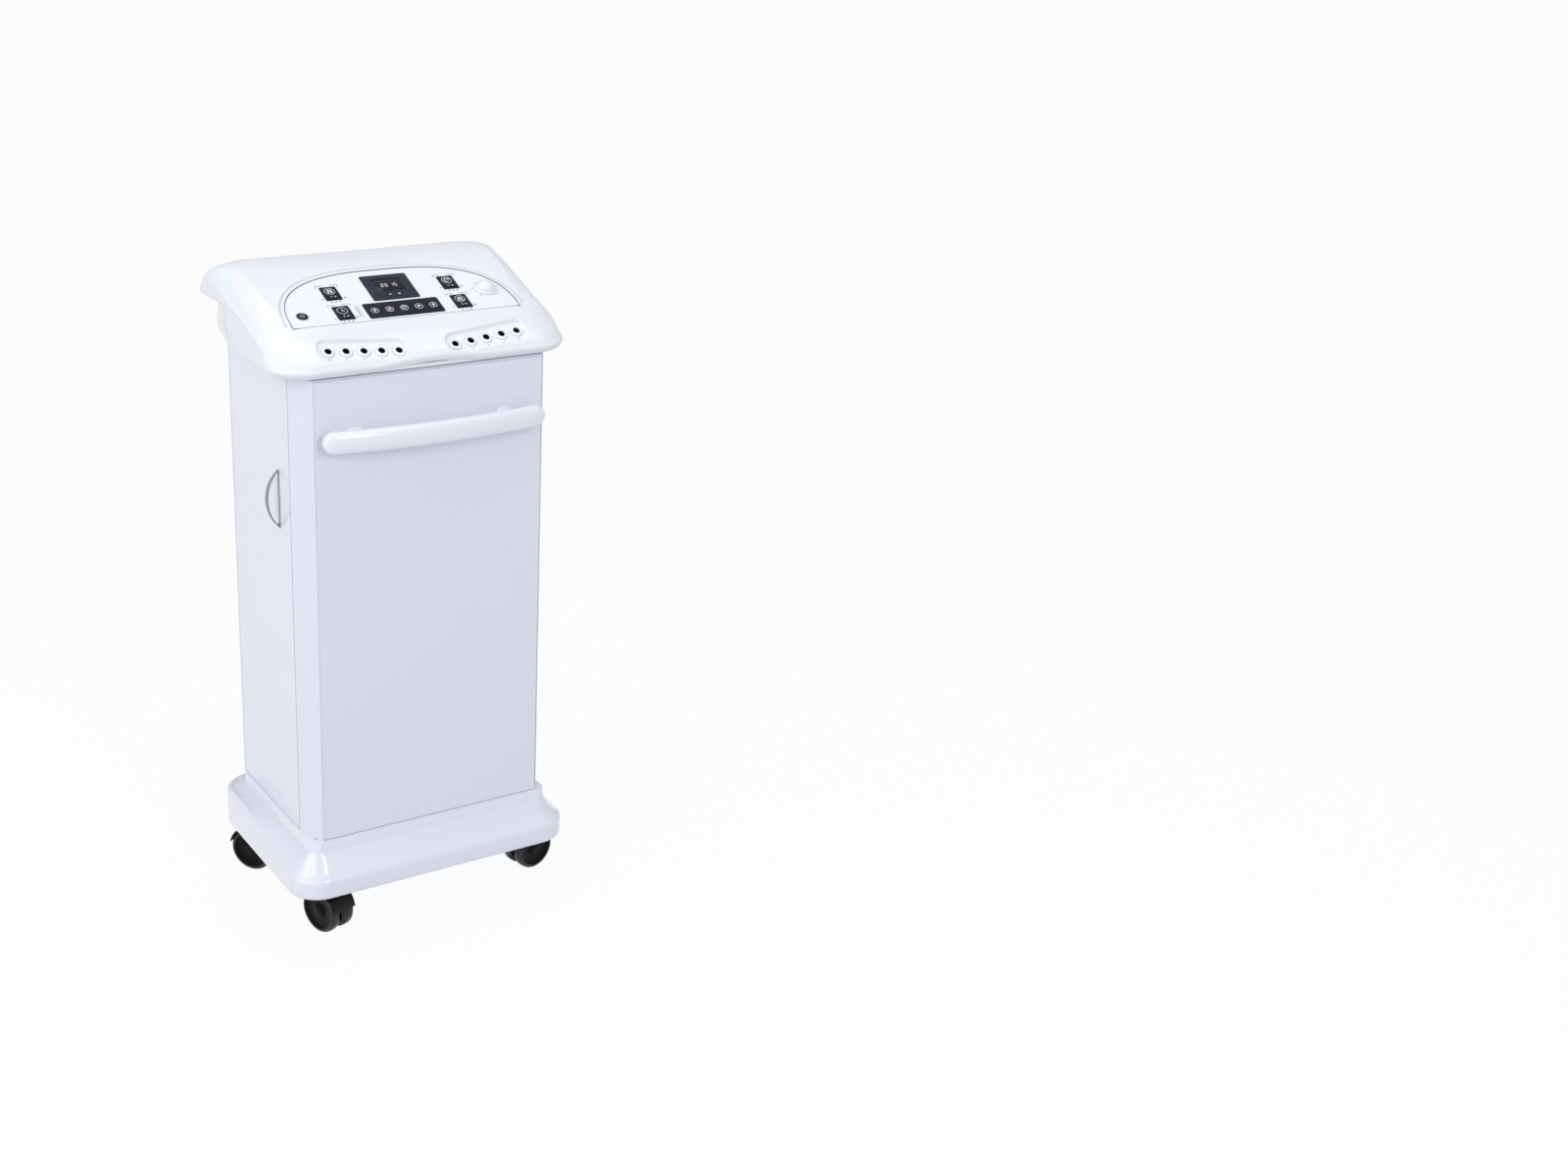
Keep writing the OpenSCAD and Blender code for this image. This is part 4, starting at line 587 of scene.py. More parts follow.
outer = head_surface()
skin_bm = bmesh.new()
loft(skin_bm, outer, cap_start=False)
bmesh.ops.recalc_face_normals(skin_bm, faces=skin_bm.faces)
HEAD_TREE = BVHTree.FromBMesh(skin_bm)
skin_bm.free()


def groove_path(n):
    """Outline of the groove round the panel, n above the panel's plane."""
    return [(x, y - GROOVE, n) for x, y in moon(PANEL_HW + GROOVE, PANEL_H + 2 * GROOVE, 120)]


def make_head():
    """Hollow shell with openings for the jack recesses and the panel, and a groove round the panel."""
    under_cap = cap_ring(HEAD_WALL)
    for p in under_cap:
        p.z -= HEAD_WALL / math.cos(math.radians(PANEL_SLOPE))
    inner = [under_cap]
    for i in range(len(HEAD_RINGS) - 1, -1, -1):
        fall = 0 if i < 4 else HEAD_WALL / 2 if i == 4 else HEAD_WALL
        inner.append([p - Vector((0, 0, fall)) for p in head_ring(i, HEAD_WALL)])
    edge = [p + Vector((0, 0, RIM_EDGE)) for p in outer[0]]
    bm = bmesh.new()
    loft(bm, inner + [head_ring(0, RIM_EDGE), edge] + outer[1:])
    head = finish_piece("head_shell", bm, "cover_plastic", "cabinet", ["head_cover"],
                        angle=26)
    tools = [punch(inset(pod_outline(s), -0.6), -9, 40, pod(s)) for s in (-1, 1)]
    tools.append(punch(moon(PANEL_HW + 0.15, PANEL_H + 0.15), -9, 20, PANEL))
    bm = bmesh.new()
    sweep(bm, groove_path(0.9), circle(2.05, 16), PANEL, loop=True)
    tools.append(cutter(bm))
    cut(head, tools, 26)


def surface_height(matrix, x, y):
    """Height of the head's surface above the frame's plane at (x, y)."""
    start = matrix @ (Vector((x, y, 60)) * MM)
    ray = (matrix.to_3x3() @ Vector((0, 0, -1))).normalized()
    hit = HEAD_TREE.ray_cast(start / MM, ray)
    if hit[0] is None:
        return 0.0
    return (matrix.inverted() @ (hit[0] * MM)).z / MM


def make_recess(side, s):
    """Jack recess with a raised rim that follows the head, and five holes."""
    m, base, floor = pod(s), pod_outline(s), -POD_DEPTH
    heights = [surface_height(m, x, y) for x, y in inset(base, -0.6)]
    # Underside, rim from outside to inside, then the side and the floor
    rings = [flat(inset(base, 1.2), floor - 2), flat(inset(base, -0.4), floor - 1.6)]
    rings.append([(p[0], p[1], min(-1.0, h - 2.6)) for p, h in zip(inset(base, -0.5), heights)])
    for out, above in ((2.6, -0.5), (2.1, 0.25), (1.3, 0.62), (0.4, 0.5), (-0.3, -0.1), (-0.7, -1.2)):
        rings.append([(p[0], p[1], h + above) for p, h in zip(inset(base, -out), heights)])
    for out, z in ((-1.2, floor + 2.2), (-2.0, floor + 0.8), (-3.6, floor)):
        rings.append(flat(inset(base, -out), z))
    bm = bmesh.new()
    loft(bm, rings, m)
    piece = finish_piece(side + "_jack_recess", bm, "cover_plastic", "cabinet",
                         [side + "_jack_plate"], angle=40)
    tools = []
    for x in JACKS:
        bm = bmesh.new()
        lathe(bm, [(0, floor - 4), (6.7, floor - 4), (6.7, floor - 0.9), (10.8, floor - 0.9),
                   (10.8, floor + 3), (0, floor + 3)], m @ shift(x * MM, 0, 0), 48)
        tools.append(cutter(bm))
    cut(piece, tools, 40)


def make_jacks(side, s):
    """Five jacks with a domed white ring, a black sleeve and a printed dot each."""
    m, floor = pod(s), -POD_DEPTH
    ring, sleeve, marks = bmesh.new(), bmesh.new(), bmesh.new()
    for x in JACKS:
        at = m @ shift(x * MM, 0, 0)
        lathe(ring, [(6.5, floor - 15), (6.5, floor - 0.8), (10, floor - 0.8), (10, floor + 0.9),
                     (9.7, floor + 1.7), (8.9, floor + 2.6), (7.8, floor + 3.2), (6.8, floor + 3.35),
                     (6.0, floor + 3.1), (5.45, floor + 2.5), (5.3, floor + 1.8), (5.3, floor - 15)],
              at, loop=True)
        lathe(sleeve, [(5.25, floor + 1.9), (5.25, floor - 15.5), (4.8, floor - 15.5), (4.8, floor + 1.5),
                       (4.95, floor + 1.9)], at, 48, loop=True)
        lathe(sleeve, [(0, floor - 14.2), (4.8, floor - 14.2), (4.8, floor - 15.4), (0, floor - 15.4)],
              at, 32)
        plate(marks, circle(0.9, 12, x - 2.2, -14.2), floor - 0.05, floor + 0.12, 0.05, m, 1)
    cad = [side + "_jacks"]
    finish_piece(side + "_jack_rings", ring, "jack_white", "cabinet", cad, angle=40)
    finish_piece(side + "_jack_sleeves", sleeve, "socket_black", "cabinet", cad)
    finish_piece(side + "_jack_marks", marks, "dark_print", "cabinet")


make_head()
for s, side in ((-1, "left"), (1, "right")):
    make_recess(side, s)
    make_jacks(side, s)

# ---------------------------------------------------------------- control panel

# Places on the panel: along its base line, and up the slope
DISPLAY_KEYS = [(-7.5, 60), (7.5, 60)]
KEYPAD_KEYS = [(-48 + 24 * i, 24) for i in range(5)]
MODULES = [(-97, 77.5), (-97, 27), (97, 77.5), (97, 27)]
POWER_AT, KNOB_AT = (-162, 28), (150, 52)
# How far up the slope the screen lies, and how far below its module's middle each module key lies
SCREEN_S, MODULE_KEY_DOWN = 86, 10
# Heights against the cap: the film, the top of the module plates, the screen, the undersides of the
# plates and of the keys
FILM_TOP, MODULE_TOP, SCREEN_TOP, PLATE_LOW, KEY_LOW = -0.9, -0.2, -0.75, -1.9, -6.0


def on_panel(x, s):
    """Frame on the panel's plane, x along its base line and s up the slope."""
    return PANEL @ shift(x * MM, s * MM, 0)


def ring_mark(bm, r, w, at, top, rise=0.16):
    lathe(bm, [(r, top - 0.05), (r, top + rise), (r - w, top + rise), (r - w, top - 0.05)], at, 40, loop=True)


def shape_mark(bm, outline, at, top, rise=0.16):
    loft(bm, [flat(outline, top - 0.05), flat(outline, top + rise)], at)


def bar(x0, y0, x1, y1, w):
    """Rectangle of width w from one point to the other."""
    a, b = Vector((x0, y0)), Vector((x1, y1))
    t = (b - a).normalized()
    n = Vector((-t.y, t.x)) * w / 2
    return [tuple(a - n), tuple(b - n), tuple(b + n), tuple(a + n)]


def arc_band(r, w, a0, a1, n=20):
    outer_edge = corner_arc(0, 0, r, a0, a1, n)
    return outer_edge + list(reversed(corner_arc(0, 0, r - w, a0, a1, n)))


# Outlines of the pictograms
ICONS = {
    "up": [[(-2.6, -0.6), (2.6, -0.6), (0, 2.8)], bar(0, -2.8, 0, -0.5, 1.5)],
    "down": [[(-2.6, 0.6), (0, -2.8), (2.6, 0.6)], bar(0, 0.5, 0, 2.8, 1.5)],
    "plus": [bar(-2.6, 0, 2.6, 0, 1.2), bar(0, 0.6, 0, 2.6, 1.2), bar(0, -2.6, 0, -0.6, 1.2)],
    "minus": [bar(-2.6, 0, 2.6, 0, 1.3)],
    "play": [[(-1.7, -2.5), (2.6, 0), (-1.7, 2.5)]],
    "pause": [bar(-1.2, -2.3, -1.2, 2.3, 1.2), bar(1.2, -2.3, 1.2, 2.3, 1.2)],
    "cycle": [arc_band(2.7, 0.9, 30, 300), [(1.0, 0.6), (4.0, 0.9), (2.4, 3.0)]],
    "power": [arc_band(2.8, 0.9, 125, 415), bar(0, 0.3, 0, 3.2, 0.9)],
    "legs": [bar(-1.6, -2.8, -1.0, 2.6, 1.5), bar(1.6, -2.8, 1.0, 2.6, 1.5)],
    "clock": [bar(0, 0, 0, 2.3, 0.8), bar(0.2, 0, 1.9, -1.0, 0.8)],
}


def icon(bm, kind, at, top, k=1.0, rise=0.16):
    """Plain pictogram, k times as large as its outlines."""
    for outline in ICONS[kind]:
        shape_mark(bm, [(x * k, y * k) for x, y in outline], at, top, rise)


def digit(bm, value, at, top, h=7.0):
    """Seven-bar digit."""
    w = h * 0.5
    bars = {"a": (-w / 2, h / 2, w / 2, h / 2), "g": (-w / 2, 0, w / 2, 0),
            "d": (-w / 2, -h / 2, w / 2, -h / 2),
            "f": (-w / 2, 0.5, -w / 2, h / 2 - 0.5), "b": (w / 2, 0.5, w / 2, h / 2 - 0.5),
            "e": (-w / 2, -h / 2 + 0.5, -w / 2, -0.5), "c": (w / 2, -h / 2 + 0.5, w / 2, -0.5)}
    on = {0: "abcdef", 1: "bc", 2: "abged", 5: "afgcd"}[value]
    for k in on:
        shape_mark(bm, bar(*bars[k], 1.0), at, top, 0.1)


def key_profile(r, top, crown):
    """Half section of a round key with a rounded edge and a slight crown."""
    out = [(0, KEY_LOW), (r, KEY_LOW), (r, top - 0.9)]
    for i in range(1, 5):
        a = math.pi / 2 * i / 4
        out.append((r - 0.9 + 0.9 * math.cos(a), top - 0.9 + 0.9 * math.sin(a)))
    out += [(r * 0.6, top + crown * 0.55), (r * 0.3, top + crown * 0.9), (0, top + crown)]
    return out


def repaint(node, mat):
    """Gives a CAD node that stays in view its finish."""
    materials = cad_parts[node].data.materials
    materials.clear()
    materials.append(MATERIALS[mat])


def make_seal():
    """Dark seal round the panel, and a grey strip of painted shade in the bottom of the groove along its arc.
    """
    bm = bmesh.new()
    sweep(bm, [(x, y + 0.9, -0.75) for x, y in moon(PANEL_HW - 0.7, PANEL_H - 1.6, 120)],
          [(-0.65, -0.5), (0.65, -0.5), (0.55, 0.45), (0, 0.62), (-0.55, 0.45)], PANEL, loop=True)
    finish_piece("panel_seal", bm, "seal_grey", "cabinet", angle=50)
    # Grey strip in the bottom of the groove: painted shade where the groove lies in shadow
    bm = bmesh.new()
    sweep(bm, groove_path(-0.72)[2:119],
          [(-1.25, -0.2), (1.25, -0.2), (1.15, 0.1), (0, 0.2), (-1.15, 0.1)], PANEL)
    finish_piece("groove_shade_strip", bm, "painted_groove_shade", "cabinet", angle=50)


def make_display():
    """Frame plate with holes for its keys, a sunk screen and digits."""
    bm = bmesh.new()
    plate(bm, round_rect(76.6, 64.6, 3, 0, 80.5), PLATE_LOW, -0.1, 0.5, PANEL)
    window = finish_piece("display_plate", bm, "screen_frame", "cabinet", ["display_window"])
    tools = [punch(circle(4.3, 40, x, s), -4, 2, PANEL) for x, s in DISPLAY_KEYS]
    bm = bmesh.new()
    loft(bm, [flat(round_rect(46, 32, 1.5, 0, SCREEN_S), -1.1),
              flat(round_rect(46.6, 32.6, 1.8, 0, SCREEN_S), 2)], PANEL)
    cut(window, tools + [cutter(bm)])
    bm = bmesh.new()
    plate(bm, round_rect(45.9, 31.9, 1.4, 0, SCREEN_S), -1.4, SCREEN_TOP, 0.15, PANEL, 2)
    finish_piece("display_screen", bm, "screen_glass", "cabinet", ["display_window"])
    bm = bmesh.new()
    for x, value in ((-10, 2), (-3.5, 0), (6, 1), (12, 5)):
        digit(bm, value, on_panel(x, SCREEN_S), SCREEN_TOP)
    finish_piece("display_digits", bm, "white_print", "cabinet")


def make_key_plates():
    """Keypad strip and the four small modules, with holes for their keys."""
    bm = bmesh.new()
    plate(bm, round_rect(123.6, 37.6, 3, 0, 25), PLATE_LOW, -0.15, 0.4, PANEL)
    strip = finish_piece("keypad_strip", bm, "key_film", "cabinet", ["keypad_plate"])
    cut(strip, [punch(circle(7.3, 48, x, s), -4, 2, PANEL) for x, s in KEYPAD_KEYS])
    bm = bmesh.new()
    for x, s in MODULES:
        plate(bm, round_rect(26.6, 34.6, 2, x, s), PLATE_LOW, MODULE_TOP, 0.4, PANEL)
    blocks = finish_piece("module_blocks", bm, "key_film", "cabinet", ["module_plates"])
    cut(blocks, [punch(round_rect(14.6, 7.6, 1.7, x, s - MODULE_KEY_DOWN), -4, 2, PANEL)
                 for x, s in MODULES])


def round_key(body, r, top, at, kind, size, ring):
    """Round key with its pictogram, and a printed ring if asked."""
    bm = bmesh.new()
    lathe(bm, key_profile(r, top - 0.35, 0.45), at, 64)
    finish_piece(body + "_cap", bm, "key_cap", body, [body], angle=40)
    bm = bmesh.new()
    if ring:
        ring_mark(bm, r - 0.7, 0.75, at, top - 0.4, 0.3)
    icon(bm, kind, at, top - 0.15, size, 0.35)
    finish_piece(body + "_sign", bm, "white_print", body)


def make_power_key():
    """Dark cap with a grey centre and its sign, in a white collar."""
    at = on_panel(*POWER_AT)
    bm = bmesh.new()
    lathe(bm, key_profile(8.5, 0.7, 0.6), at, 64)
    finish_piece("power_key_cap", bm, "screen_glass", "power_key", ["power_key"], angle=40)
    bm = bmesh.new()
    lathe(bm, [(0, 1.05), (3.6, 1.05), (3.6, 1.32), (3.3, 1.42), (0, 1.45)], at, 40)
    finish_piece("power_key_centre", bm, "button_grey", "power_key", ["power_key"], angle=40)
    bm = bmesh.new()
    icon(bm, "power", at, 1.42, 0.62, 0.08)
    finish_piece("power_key_sign", bm, "dark_print", "power_key")
    bm = bmesh.new()
    lathe(bm, [(9.0, -1.0), (9.0, -0.35), (9.4, 0.0), (10.4, 0.05), (11.4, -0.25), (12.0, -0.95),
               (12.0, -1.0)], at, 64, loop=True)
    finish_piece("power_key_collar", bm, "knob_plastic", "cabinet", angle=50)


def make_keys():
    """Round keys, the power key and a long key in each module."""
    for i, kind in enumerate(("down", "pause", "cycle", "play", "up")):
        round_key("keypad_key_%d" % (i + 1), 7.0, 0.75, on_panel(*KEYPAD_KEYS[i]), kind, 1.25, ring=True)
    for i, kind in enumerate(("minus", "plus")):
        round_key("display_key_%d" % (i + 1), 4.0, 0.7, on_panel(*DISPLAY_KEYS[i]), kind, 0.95, ring=False)
    make_power_key()
    for i, (x, s) in enumerate(MODULES):
        body = "module_key_%d" % (i + 1)
        at = on_panel(x, s - MODULE_KEY_DOWN)
        bm = bmesh.new()
        plate(bm, round_rect(14, 7, 1.5), KEY_LOW, 0.9, 0.7, at)
        finish_piece(body + "_cap", bm, "key_cap", body, [body])
        bm = bmesh.new()
        icon(bm, "up" if i % 2 else "plus", at @ shift(3.2 * MM, 0, 0), 0.88, 0.62)
        icon(bm, "down" if i % 2 else "minus", at @ shift(-3.2 * MM, 0, 0), 0.88, 0.62)
        finish_piece(body + "_sign", bm, "white_print", body)


def make_marks():
    """Pictograms on the modules, brackets and dots round them, and the scales."""
    white, grey = bmesh.new(), bmesh.new()
    for kind, (x, s) in zip(("legs", "clock", "cycle", "legs"), MODULES):
        icon(white, kind, on_panel(x, s + 5.5), MODULE_TOP, 1.75)
        ring_mark(white, 8.2, 0.7, on_panel(x, s + 5.5), MODULE_TOP)
        top = s + 17.3 + 4.2
        for sx in (-1, 1):
            shape_mark(grey, bar(x + sx * 17.5, top - 6, x + sx * 17.5, top, 0.7), PANEL, FILM_TOP)
            shape_mark(grey, bar(x + sx * 17.85, top, x + sx * 5, top, 0.7), PANEL, FILM_TOP)
            icon(grey, "minus" if sx < 0 else "plus", on_panel(x + sx * 17.8, s - 12), FILM_TOP, 0.8)
        for k in range(3):
            shape_mark(grey, round_rect(2.4, 2.4, 0.4, x - 7 + 7 * k, s - 21.2, 2), PANEL, FILM_TOP)
    # Upright scale beside the keypad
    for k in range(9):
        y = 15 + 3.0 * k
        shape_mark(grey, bar(-72.5, y, -69.5 if k % 4 else -67.5, y, 0.6), PANEL, FILM_TOP)
    shape_mark(grey, bar(-74, 14, -74, 40, 0.7), PANEL, FILM_TOP)
    # Round scale of the knob
    for a in range(0, 271, 27):
        m = on_panel(*KNOB_AT) @ turn(225 - a, "Z")
        shape_mark(grey, bar(19.6, 0, 21.8 if a % 54 else 23, 0, 0.7), m, FILM_TOP)
    finish_piece("panel_white_signs", white, "white_print", "cabinet")
    finish_piece("panel_grey_signs", grey, "dark_print", "cabinet")


def make_knob():
    """Domed knob with a fluted foot and a pointer."""
    at = on_panel(*KNOB_AT)
    z = -0.6
    profile = [(0, z), (17.2, z), (17.5, z + 0.4), (17.5, z + 2.2), (17.2, z + 2.8), (16.4, z + 3.1),
               (15.2, z + 3.0), (14.4, z + 3.4), (13.9, z + 4.6)]
    for i in range(1, 9):
        a = math.radians(16 + 74 * i / 9)
        profile.append((13.6 * math.cos(a) + 0.2, z + 3 + 10.6 * math.sin(a)))
    profile += [(1.5, z + 13.55), (0, z + 13.5)]
    bm = bmesh.new()
    lathe(bm, profile, at, 96)
    for k in range(24):
        box(bm, (13.2, -0.35, z + 3.4), (14.7, 0.35, z + 6.6), 0.3, at @ turn(15 * k, "Z"))
    finish_piece("knob_dome", bm, "knob_plastic", "knob", ["level_knob"], angle=40)
    bm = bmesh.new()
    ring_mark(bm, 5.2, 0.5, at, z + 12.55, 0.3)
    shape_mark(bm, bar(0, 7.0, 0, 10.4, 0.9), at @ turn(45, "Z"), z + 9.6, 1.0)
    finish_piece("knob_mark", bm, "dark_print", "knob")


repaint("control_panel", "panel_film")
make_seal()
make_display()
make_key_plates()
make_keys()
make_marks()
make_knob()

# ---------------------------------------------------------------- cabinet


def long_upright(e):
    """Whether the edge is one of the cabinet's outer upright corners."""
    d = e.verts[0].co - e.verts[1].co
    x, y = e.verts[0].co.x / MM, e.verts[0].co.y / MM
    upright = abs(d.z) > 0.3 and abs(d.x) + abs(d.y) < 1e-4
    outside = abs(abs(x) - HALF_W) < 0.1 or y < -HALF_D + 0.1 or y > HALF_D - 0.1
    return upright and outside and e.calc_face_angle(0) > math.radians(10)


softened("cabinet_shell", "cabinet_paint", "cabinet", 0.4, pick=long_upright, r_pick=1.3)
softened("front_panel", "cabinet_paint", "cabinet", 0.7)
softened("side_door", "door_paint", "door", 0.6)
softened("rear_panel", "cabinet_paint", "cabinet", 0.3)


def make_door_seal():
    """White lip on the cabinet's fold that closes the gap at the door's front edge."""
    bm = bmesh.new()
    box(bm, (-205.1, -91.0, FLOOR_Z + 3), (-204.0, -90.4, TOP_Z - 3), 0.2)
    finish_piece("door_seal", bm, "cover_plastic", "cabinet", angle=50)


def make_handle():
    """Bowed bar of soft section with rounded ends, on two posts."""
    z0, half, height, depth = 841.0, 182.0, 34.0, 21.0
    front, bow, end, post_x, around = -191, 16.0, 21.0, 123, 44
    radius = (half * half + bow * bow) / (2 * bow)
    ends = [-half + end * (1 - math.sin(math.pi / 2 * i / 14)) for i in range(15)]
    middle = [-half + end + (2 * half - 2 * end) * i / 56 for i in range(1, 56)]
    rings = []
    for x in sorted(set(round(x, 4) for x in ends + middle + [-x for x in ends])):
        yc = front + depth / 2 + radius - math.sqrt(radius * radius - x * x)
        q = max(0.0, (abs(x) - half + end) / end)
        k = max(0.06, (1 - q ** 2.3) ** (1 / 2.3))
        ring = []
        for j in range(around):
            a = 2 * math.pi * j / around
            c, s = math.cos(a), math.sin(a)
            n = 2.5 if c < 0 else 3.6
            y = math.copysign(abs(c) ** (2 / n), c) * depth / 2 * (0.35 + 0.65 * k)
            z = math.copysign(abs(s) ** (2 / n), s) * height / 2 * k
            ring.append((x, yc + y, z0 + z))
        rings.append(ring)
    bm = bmesh.new()
    loft(bm, rings)
    finish_piece("handle_bar", bm, "handle_plastic", "cabinet", ["front_handle"], angle=60)
    bm = bmesh.new()
    post = ((25.6, 25.6, -0.05), (25.6, 25.6, 2.2), (24.6, 24.6, 3.0), (22, 21, 3.4), (21, 19, 6),
            (20.6, 18.6, 26))
    for s in (-1, 1):
        loft(bm, [[(s * post_x + x, 1 - HALF_D - up, z0 + y) for x, y in round_rect(w, d, 6)]
                  for w, d, up in post])
    finish_piece("handle_posts", bm, "handle_plastic", "cabinet", ["front_handle"],
                 angle=40)


def make_pull():
    """Chrome bow on a thin straight back plate, tapering to its two feet."""
    length, bow, y0, z0 = 93.0, 20.0, -48.0, 722.0
    radius = (length * length / 4 + bow * bow) / (2 * bow)
    path = []
    for i in range(41):
        z = -length / 2 + length * i / 40
        out = math.sqrt(radius * radius - z * z) - radius + bow
        path.append((min(-HALF_W - out, -HALF_W - 1.0), y0, z0 + z))
    taper = [0.45 + 0.55 * math.sin(math.pi * i / 40) ** 0.6 for i in range(41)]
    bm = bmesh.new()
    section = [(-4.1, -1.3), (-3.5, -1.6), (3.5, -1.6), (4.1, -1.3), (4.1, 0.4), (3.2, 1.1), (1.5, 1.5),
               (-1.5, 1.5), (-3.2, 1.1), (-4.1, 0.4)]
    sweep(bm, path, section, up=(-1, 0, 0), scale=taper)
    for s in (-1, 1):
        box(bm, (-HALF_W - 2.6, y0 - 3, z0 + s * 43 - 3), (-HALF_W + 0.05, y0 + 3, z0 + s * 43 + 3), 1.0)
    box(bm, (-HALF_W - 0.8, y0 - 2.6, z0 - 45), (-HALF_W + 0.05, y0 + 2.6, z0 + 45), 0.4)
    finish_piece("pull_bow", bm, "pull_chrome", "door", ["door_pull"], angle=40)


make_door_seal()
make_handle()
make_pull()

# ---------------------------------------------------------------- plinth


def base_ring(hx, hy, r, z, rise=0.0):
    """Ring of the plinth at height z, rising by rise to the rear."""
    return [Vector((x, y, BASE_Z + z + rise * ease((y + hy * 0.75) / (hy * 1.4))))
            for x, y in ring_outline(hx, -hy, hy, r, r)]


def make_base():
    """Foot with an upright band, slope up to the collar, and the inside."""
    # Half sizes, corner radius and wall of the foot, its upright band, and half sizes of the collar
    bx, by, r, w = 242.0, 178.0, 52.0, 3.0
    band, rise = 33.0, 30.0
    cx, cy = 210.0, 150.0
    foot = ((4, 4, 0.3, 0), (2.6, 2.6, 0.6, 0), (1, 1, 1.9, 0), (0.2, 0, 4, 0), (0, 0, 8, 0),
            (0, 0, band - 8, rise), (0.2, 0, band - 3.4, rise), (1.1, 0.6, band - 0.9, rise),
            (2.8, 1.6, band + 0.9, rise))
    collar = ((-2.4, 22.4, 66), (-1, 20, 67.7), (0.1, 18, 69), (0.7, 17, 71), (1.8, 16, 85.8),
              (2.2, 15.6, 86.7), (3, 15, 87))
    rings = [base_ring(bx - d, by - d, r - dr, z, up) for d, dr, z, up in foot]
    rings.append(base_ring(bx - 5.2, by - 5.0, r - 3, band + 2.9, rise * 0.97))
    for k in (0.2, 0.38, 0.56, 0.74, 0.9):
        x = bx - 5.2 + (cx + 2.6 - bx + 5.2) * k
        y = by - 5 + (cy + 2.6 - by + 5) * k
        z = band + 2.9 + (66 - band - 2.9) * k - 2.6 * math.sin(math.pi * k)
        rings.append(base_ring(x, y, r - 3 + (24 - r + 3) * k, z, rise * 0.97 * (1 - k) ** 1.2))
    rings += [base_ring(cx - d, cy - d, corner, z) for d, corner, z in collar]
    rings += [
        base_ring(196, 136, 8, 87.0),
        base_ring(196, 136, 8, 84.0),
        base_ring(205, 145, 13, 84.0),
        base_ring(cx - w, cy - w, 14, 64.0),
        base_ring(bx - w - 1.5, by - w - 1.5, r - w, band - w, rise),
        base_ring(bx - w, by - w, r - w, 4),
        base_ring(bx - 4 - w, by - 4 - w, r - 4 - w, 0.3),
    ]
    bm = bmesh.new()
    loft(bm, rings, loop=True)
    finish_piece("base_shell", bm, "base_plastic", "cabinet", ["base_cover"], angle=34)


make_base()

# ---------------------------------------------------------------- castors

# Place and heading of each castor, how far the axle trails, and the wheels' radius
CASTORS = {"fl": (-181, -96, 17), "fr": (181, -96, 104), "rl": (-181, 102, -144), "rr": (181, 102, 150)}
TRAIL, WHEEL_R = 26.0, 37.5


def make_wheels(key, axle):
    """Two treaded discs on their axle."""
    tread, hub = bmesh.new(), bmesh.new()
    for s in (-1, 1):
        m = axle @ turn(s * 90, "Y")
        lathe(tread, [(31, 7.5), (36.2, 7.5), (37.1, 8.2), (37.5, 9.6), (37.5, 16.4), (37.2, 18.6),
                      (36.3, 20.6), (34.9, 22), (33.4, 22.6), (31.2, 22.7), (31, 22.3)], m, 96, loop=True)
        lathe(hub, [(0, 6.2), (30, 6.2), (31.1, 7), (31.1, 21.4), (30.6, 21.9), (29.6, 22), (28.9, 21.6),
                    (28.3, 20.2), (27.3, 19.7), (15, 18.6), (13.4, 18.9), (12.6, 20.3), (11.6, 20.9),
                    (9.8, 21), (9.2, 21.4), (8.6, 22.3), (6.4, 22.9), (3.2, 23), (0, 23)], m, 96)
    lathe(hub, [(0, -8), (3.95, -8), (3.95, 8), (0, 8)], axle @ turn(90, "Y"), 32)
    for part, bm, mat, slot in (("tread", tread, "castor_tread", "castor_tread"),
                                ("hub", hub, "hub_grey", "black_plastic")):
        finish_piece("castor_%s_%s" % (part, key), bm, mat, "wheels_" + key,
                     ["castor_wheels_" + key], angle=35)


def make_fork(key, swivel, axle):
    """Hood over both discs, web between them, and the swivel's boss and stem."""
    bm = bmesh.new()
    section = [(-23.9, 38.2), (-24.0, 39.3), (-23.3, 40.3), (-21.6, 40.9), (-19, 41)]
    section += [(-x, r) for x, r in reversed(section)]
    section += [(23.1, 38.2), (22.9, 38.7), (21, 39.05), (-21, 39.05), (-22.9, 38.7), (-23.1, 38.2)]
    rings = []
    start = math.degrees(math.asin(8 / 39.5))
    for i in range(45):
        a = math.radians(start + (180 - 2 * start) * i / 44)
        close = min(1.0, 0.7 + 0.3 * ease(min(i, 44 - i) / 2))
        ring = []
        for x, r in section:
            rr = 39.4 + (r - 39.4) * close
            ring.append((x * (0.97 + 0.03 * close), rr * math.cos(a), rr * math.sin(a)))
        rings.append(ring)
    loft(bm, rings, axle)
    web = [(39.9 * math.cos(math.radians(a)), 39.9 * math.sin(math.radians(a))) for a in range(-12, 193, 6)]
    web += [(-16, -13), (-6, -14.5), (6, -14.5), (16, -13)]
    across = axle @ Matrix(((0, 0, 1, 0), (1, 0, 0, 0), (0, 1, 0, 0), (0, 0, 0, 1)))
    plate(bm, web, -4.9, 4.9, 0.6, across, r_bottom=0.6)
    lathe(bm, [(0, 76), (11, 76), (13.6, 77.5), (14, 79), (14, 87.5), (13.4, 88.7), (9, 88.9), (7.4, 89.4),
               (7.4, 91.6), (5.45, 91.7), (5.45, 121), (4.4, 122), (0, 122)], swivel, 48)
    finish_piece("castor_fork_shape_" + key, bm, "castor_black", "fork_" + key,
                 ["castor_fork_" + key], angle=35)


for corner, (corner_x, corner_y, heading) in CASTORS.items():
    swivel_at = shift(corner_x * MM, corner_y * MM, 0) @ turn(heading, "Z")
    axle_at = swivel_at @ shift(0, -TRAIL * MM, WHEEL_R * MM)
    make_wheels(corner, axle_at)
    make_fork(corner, swivel_at, axle_at)

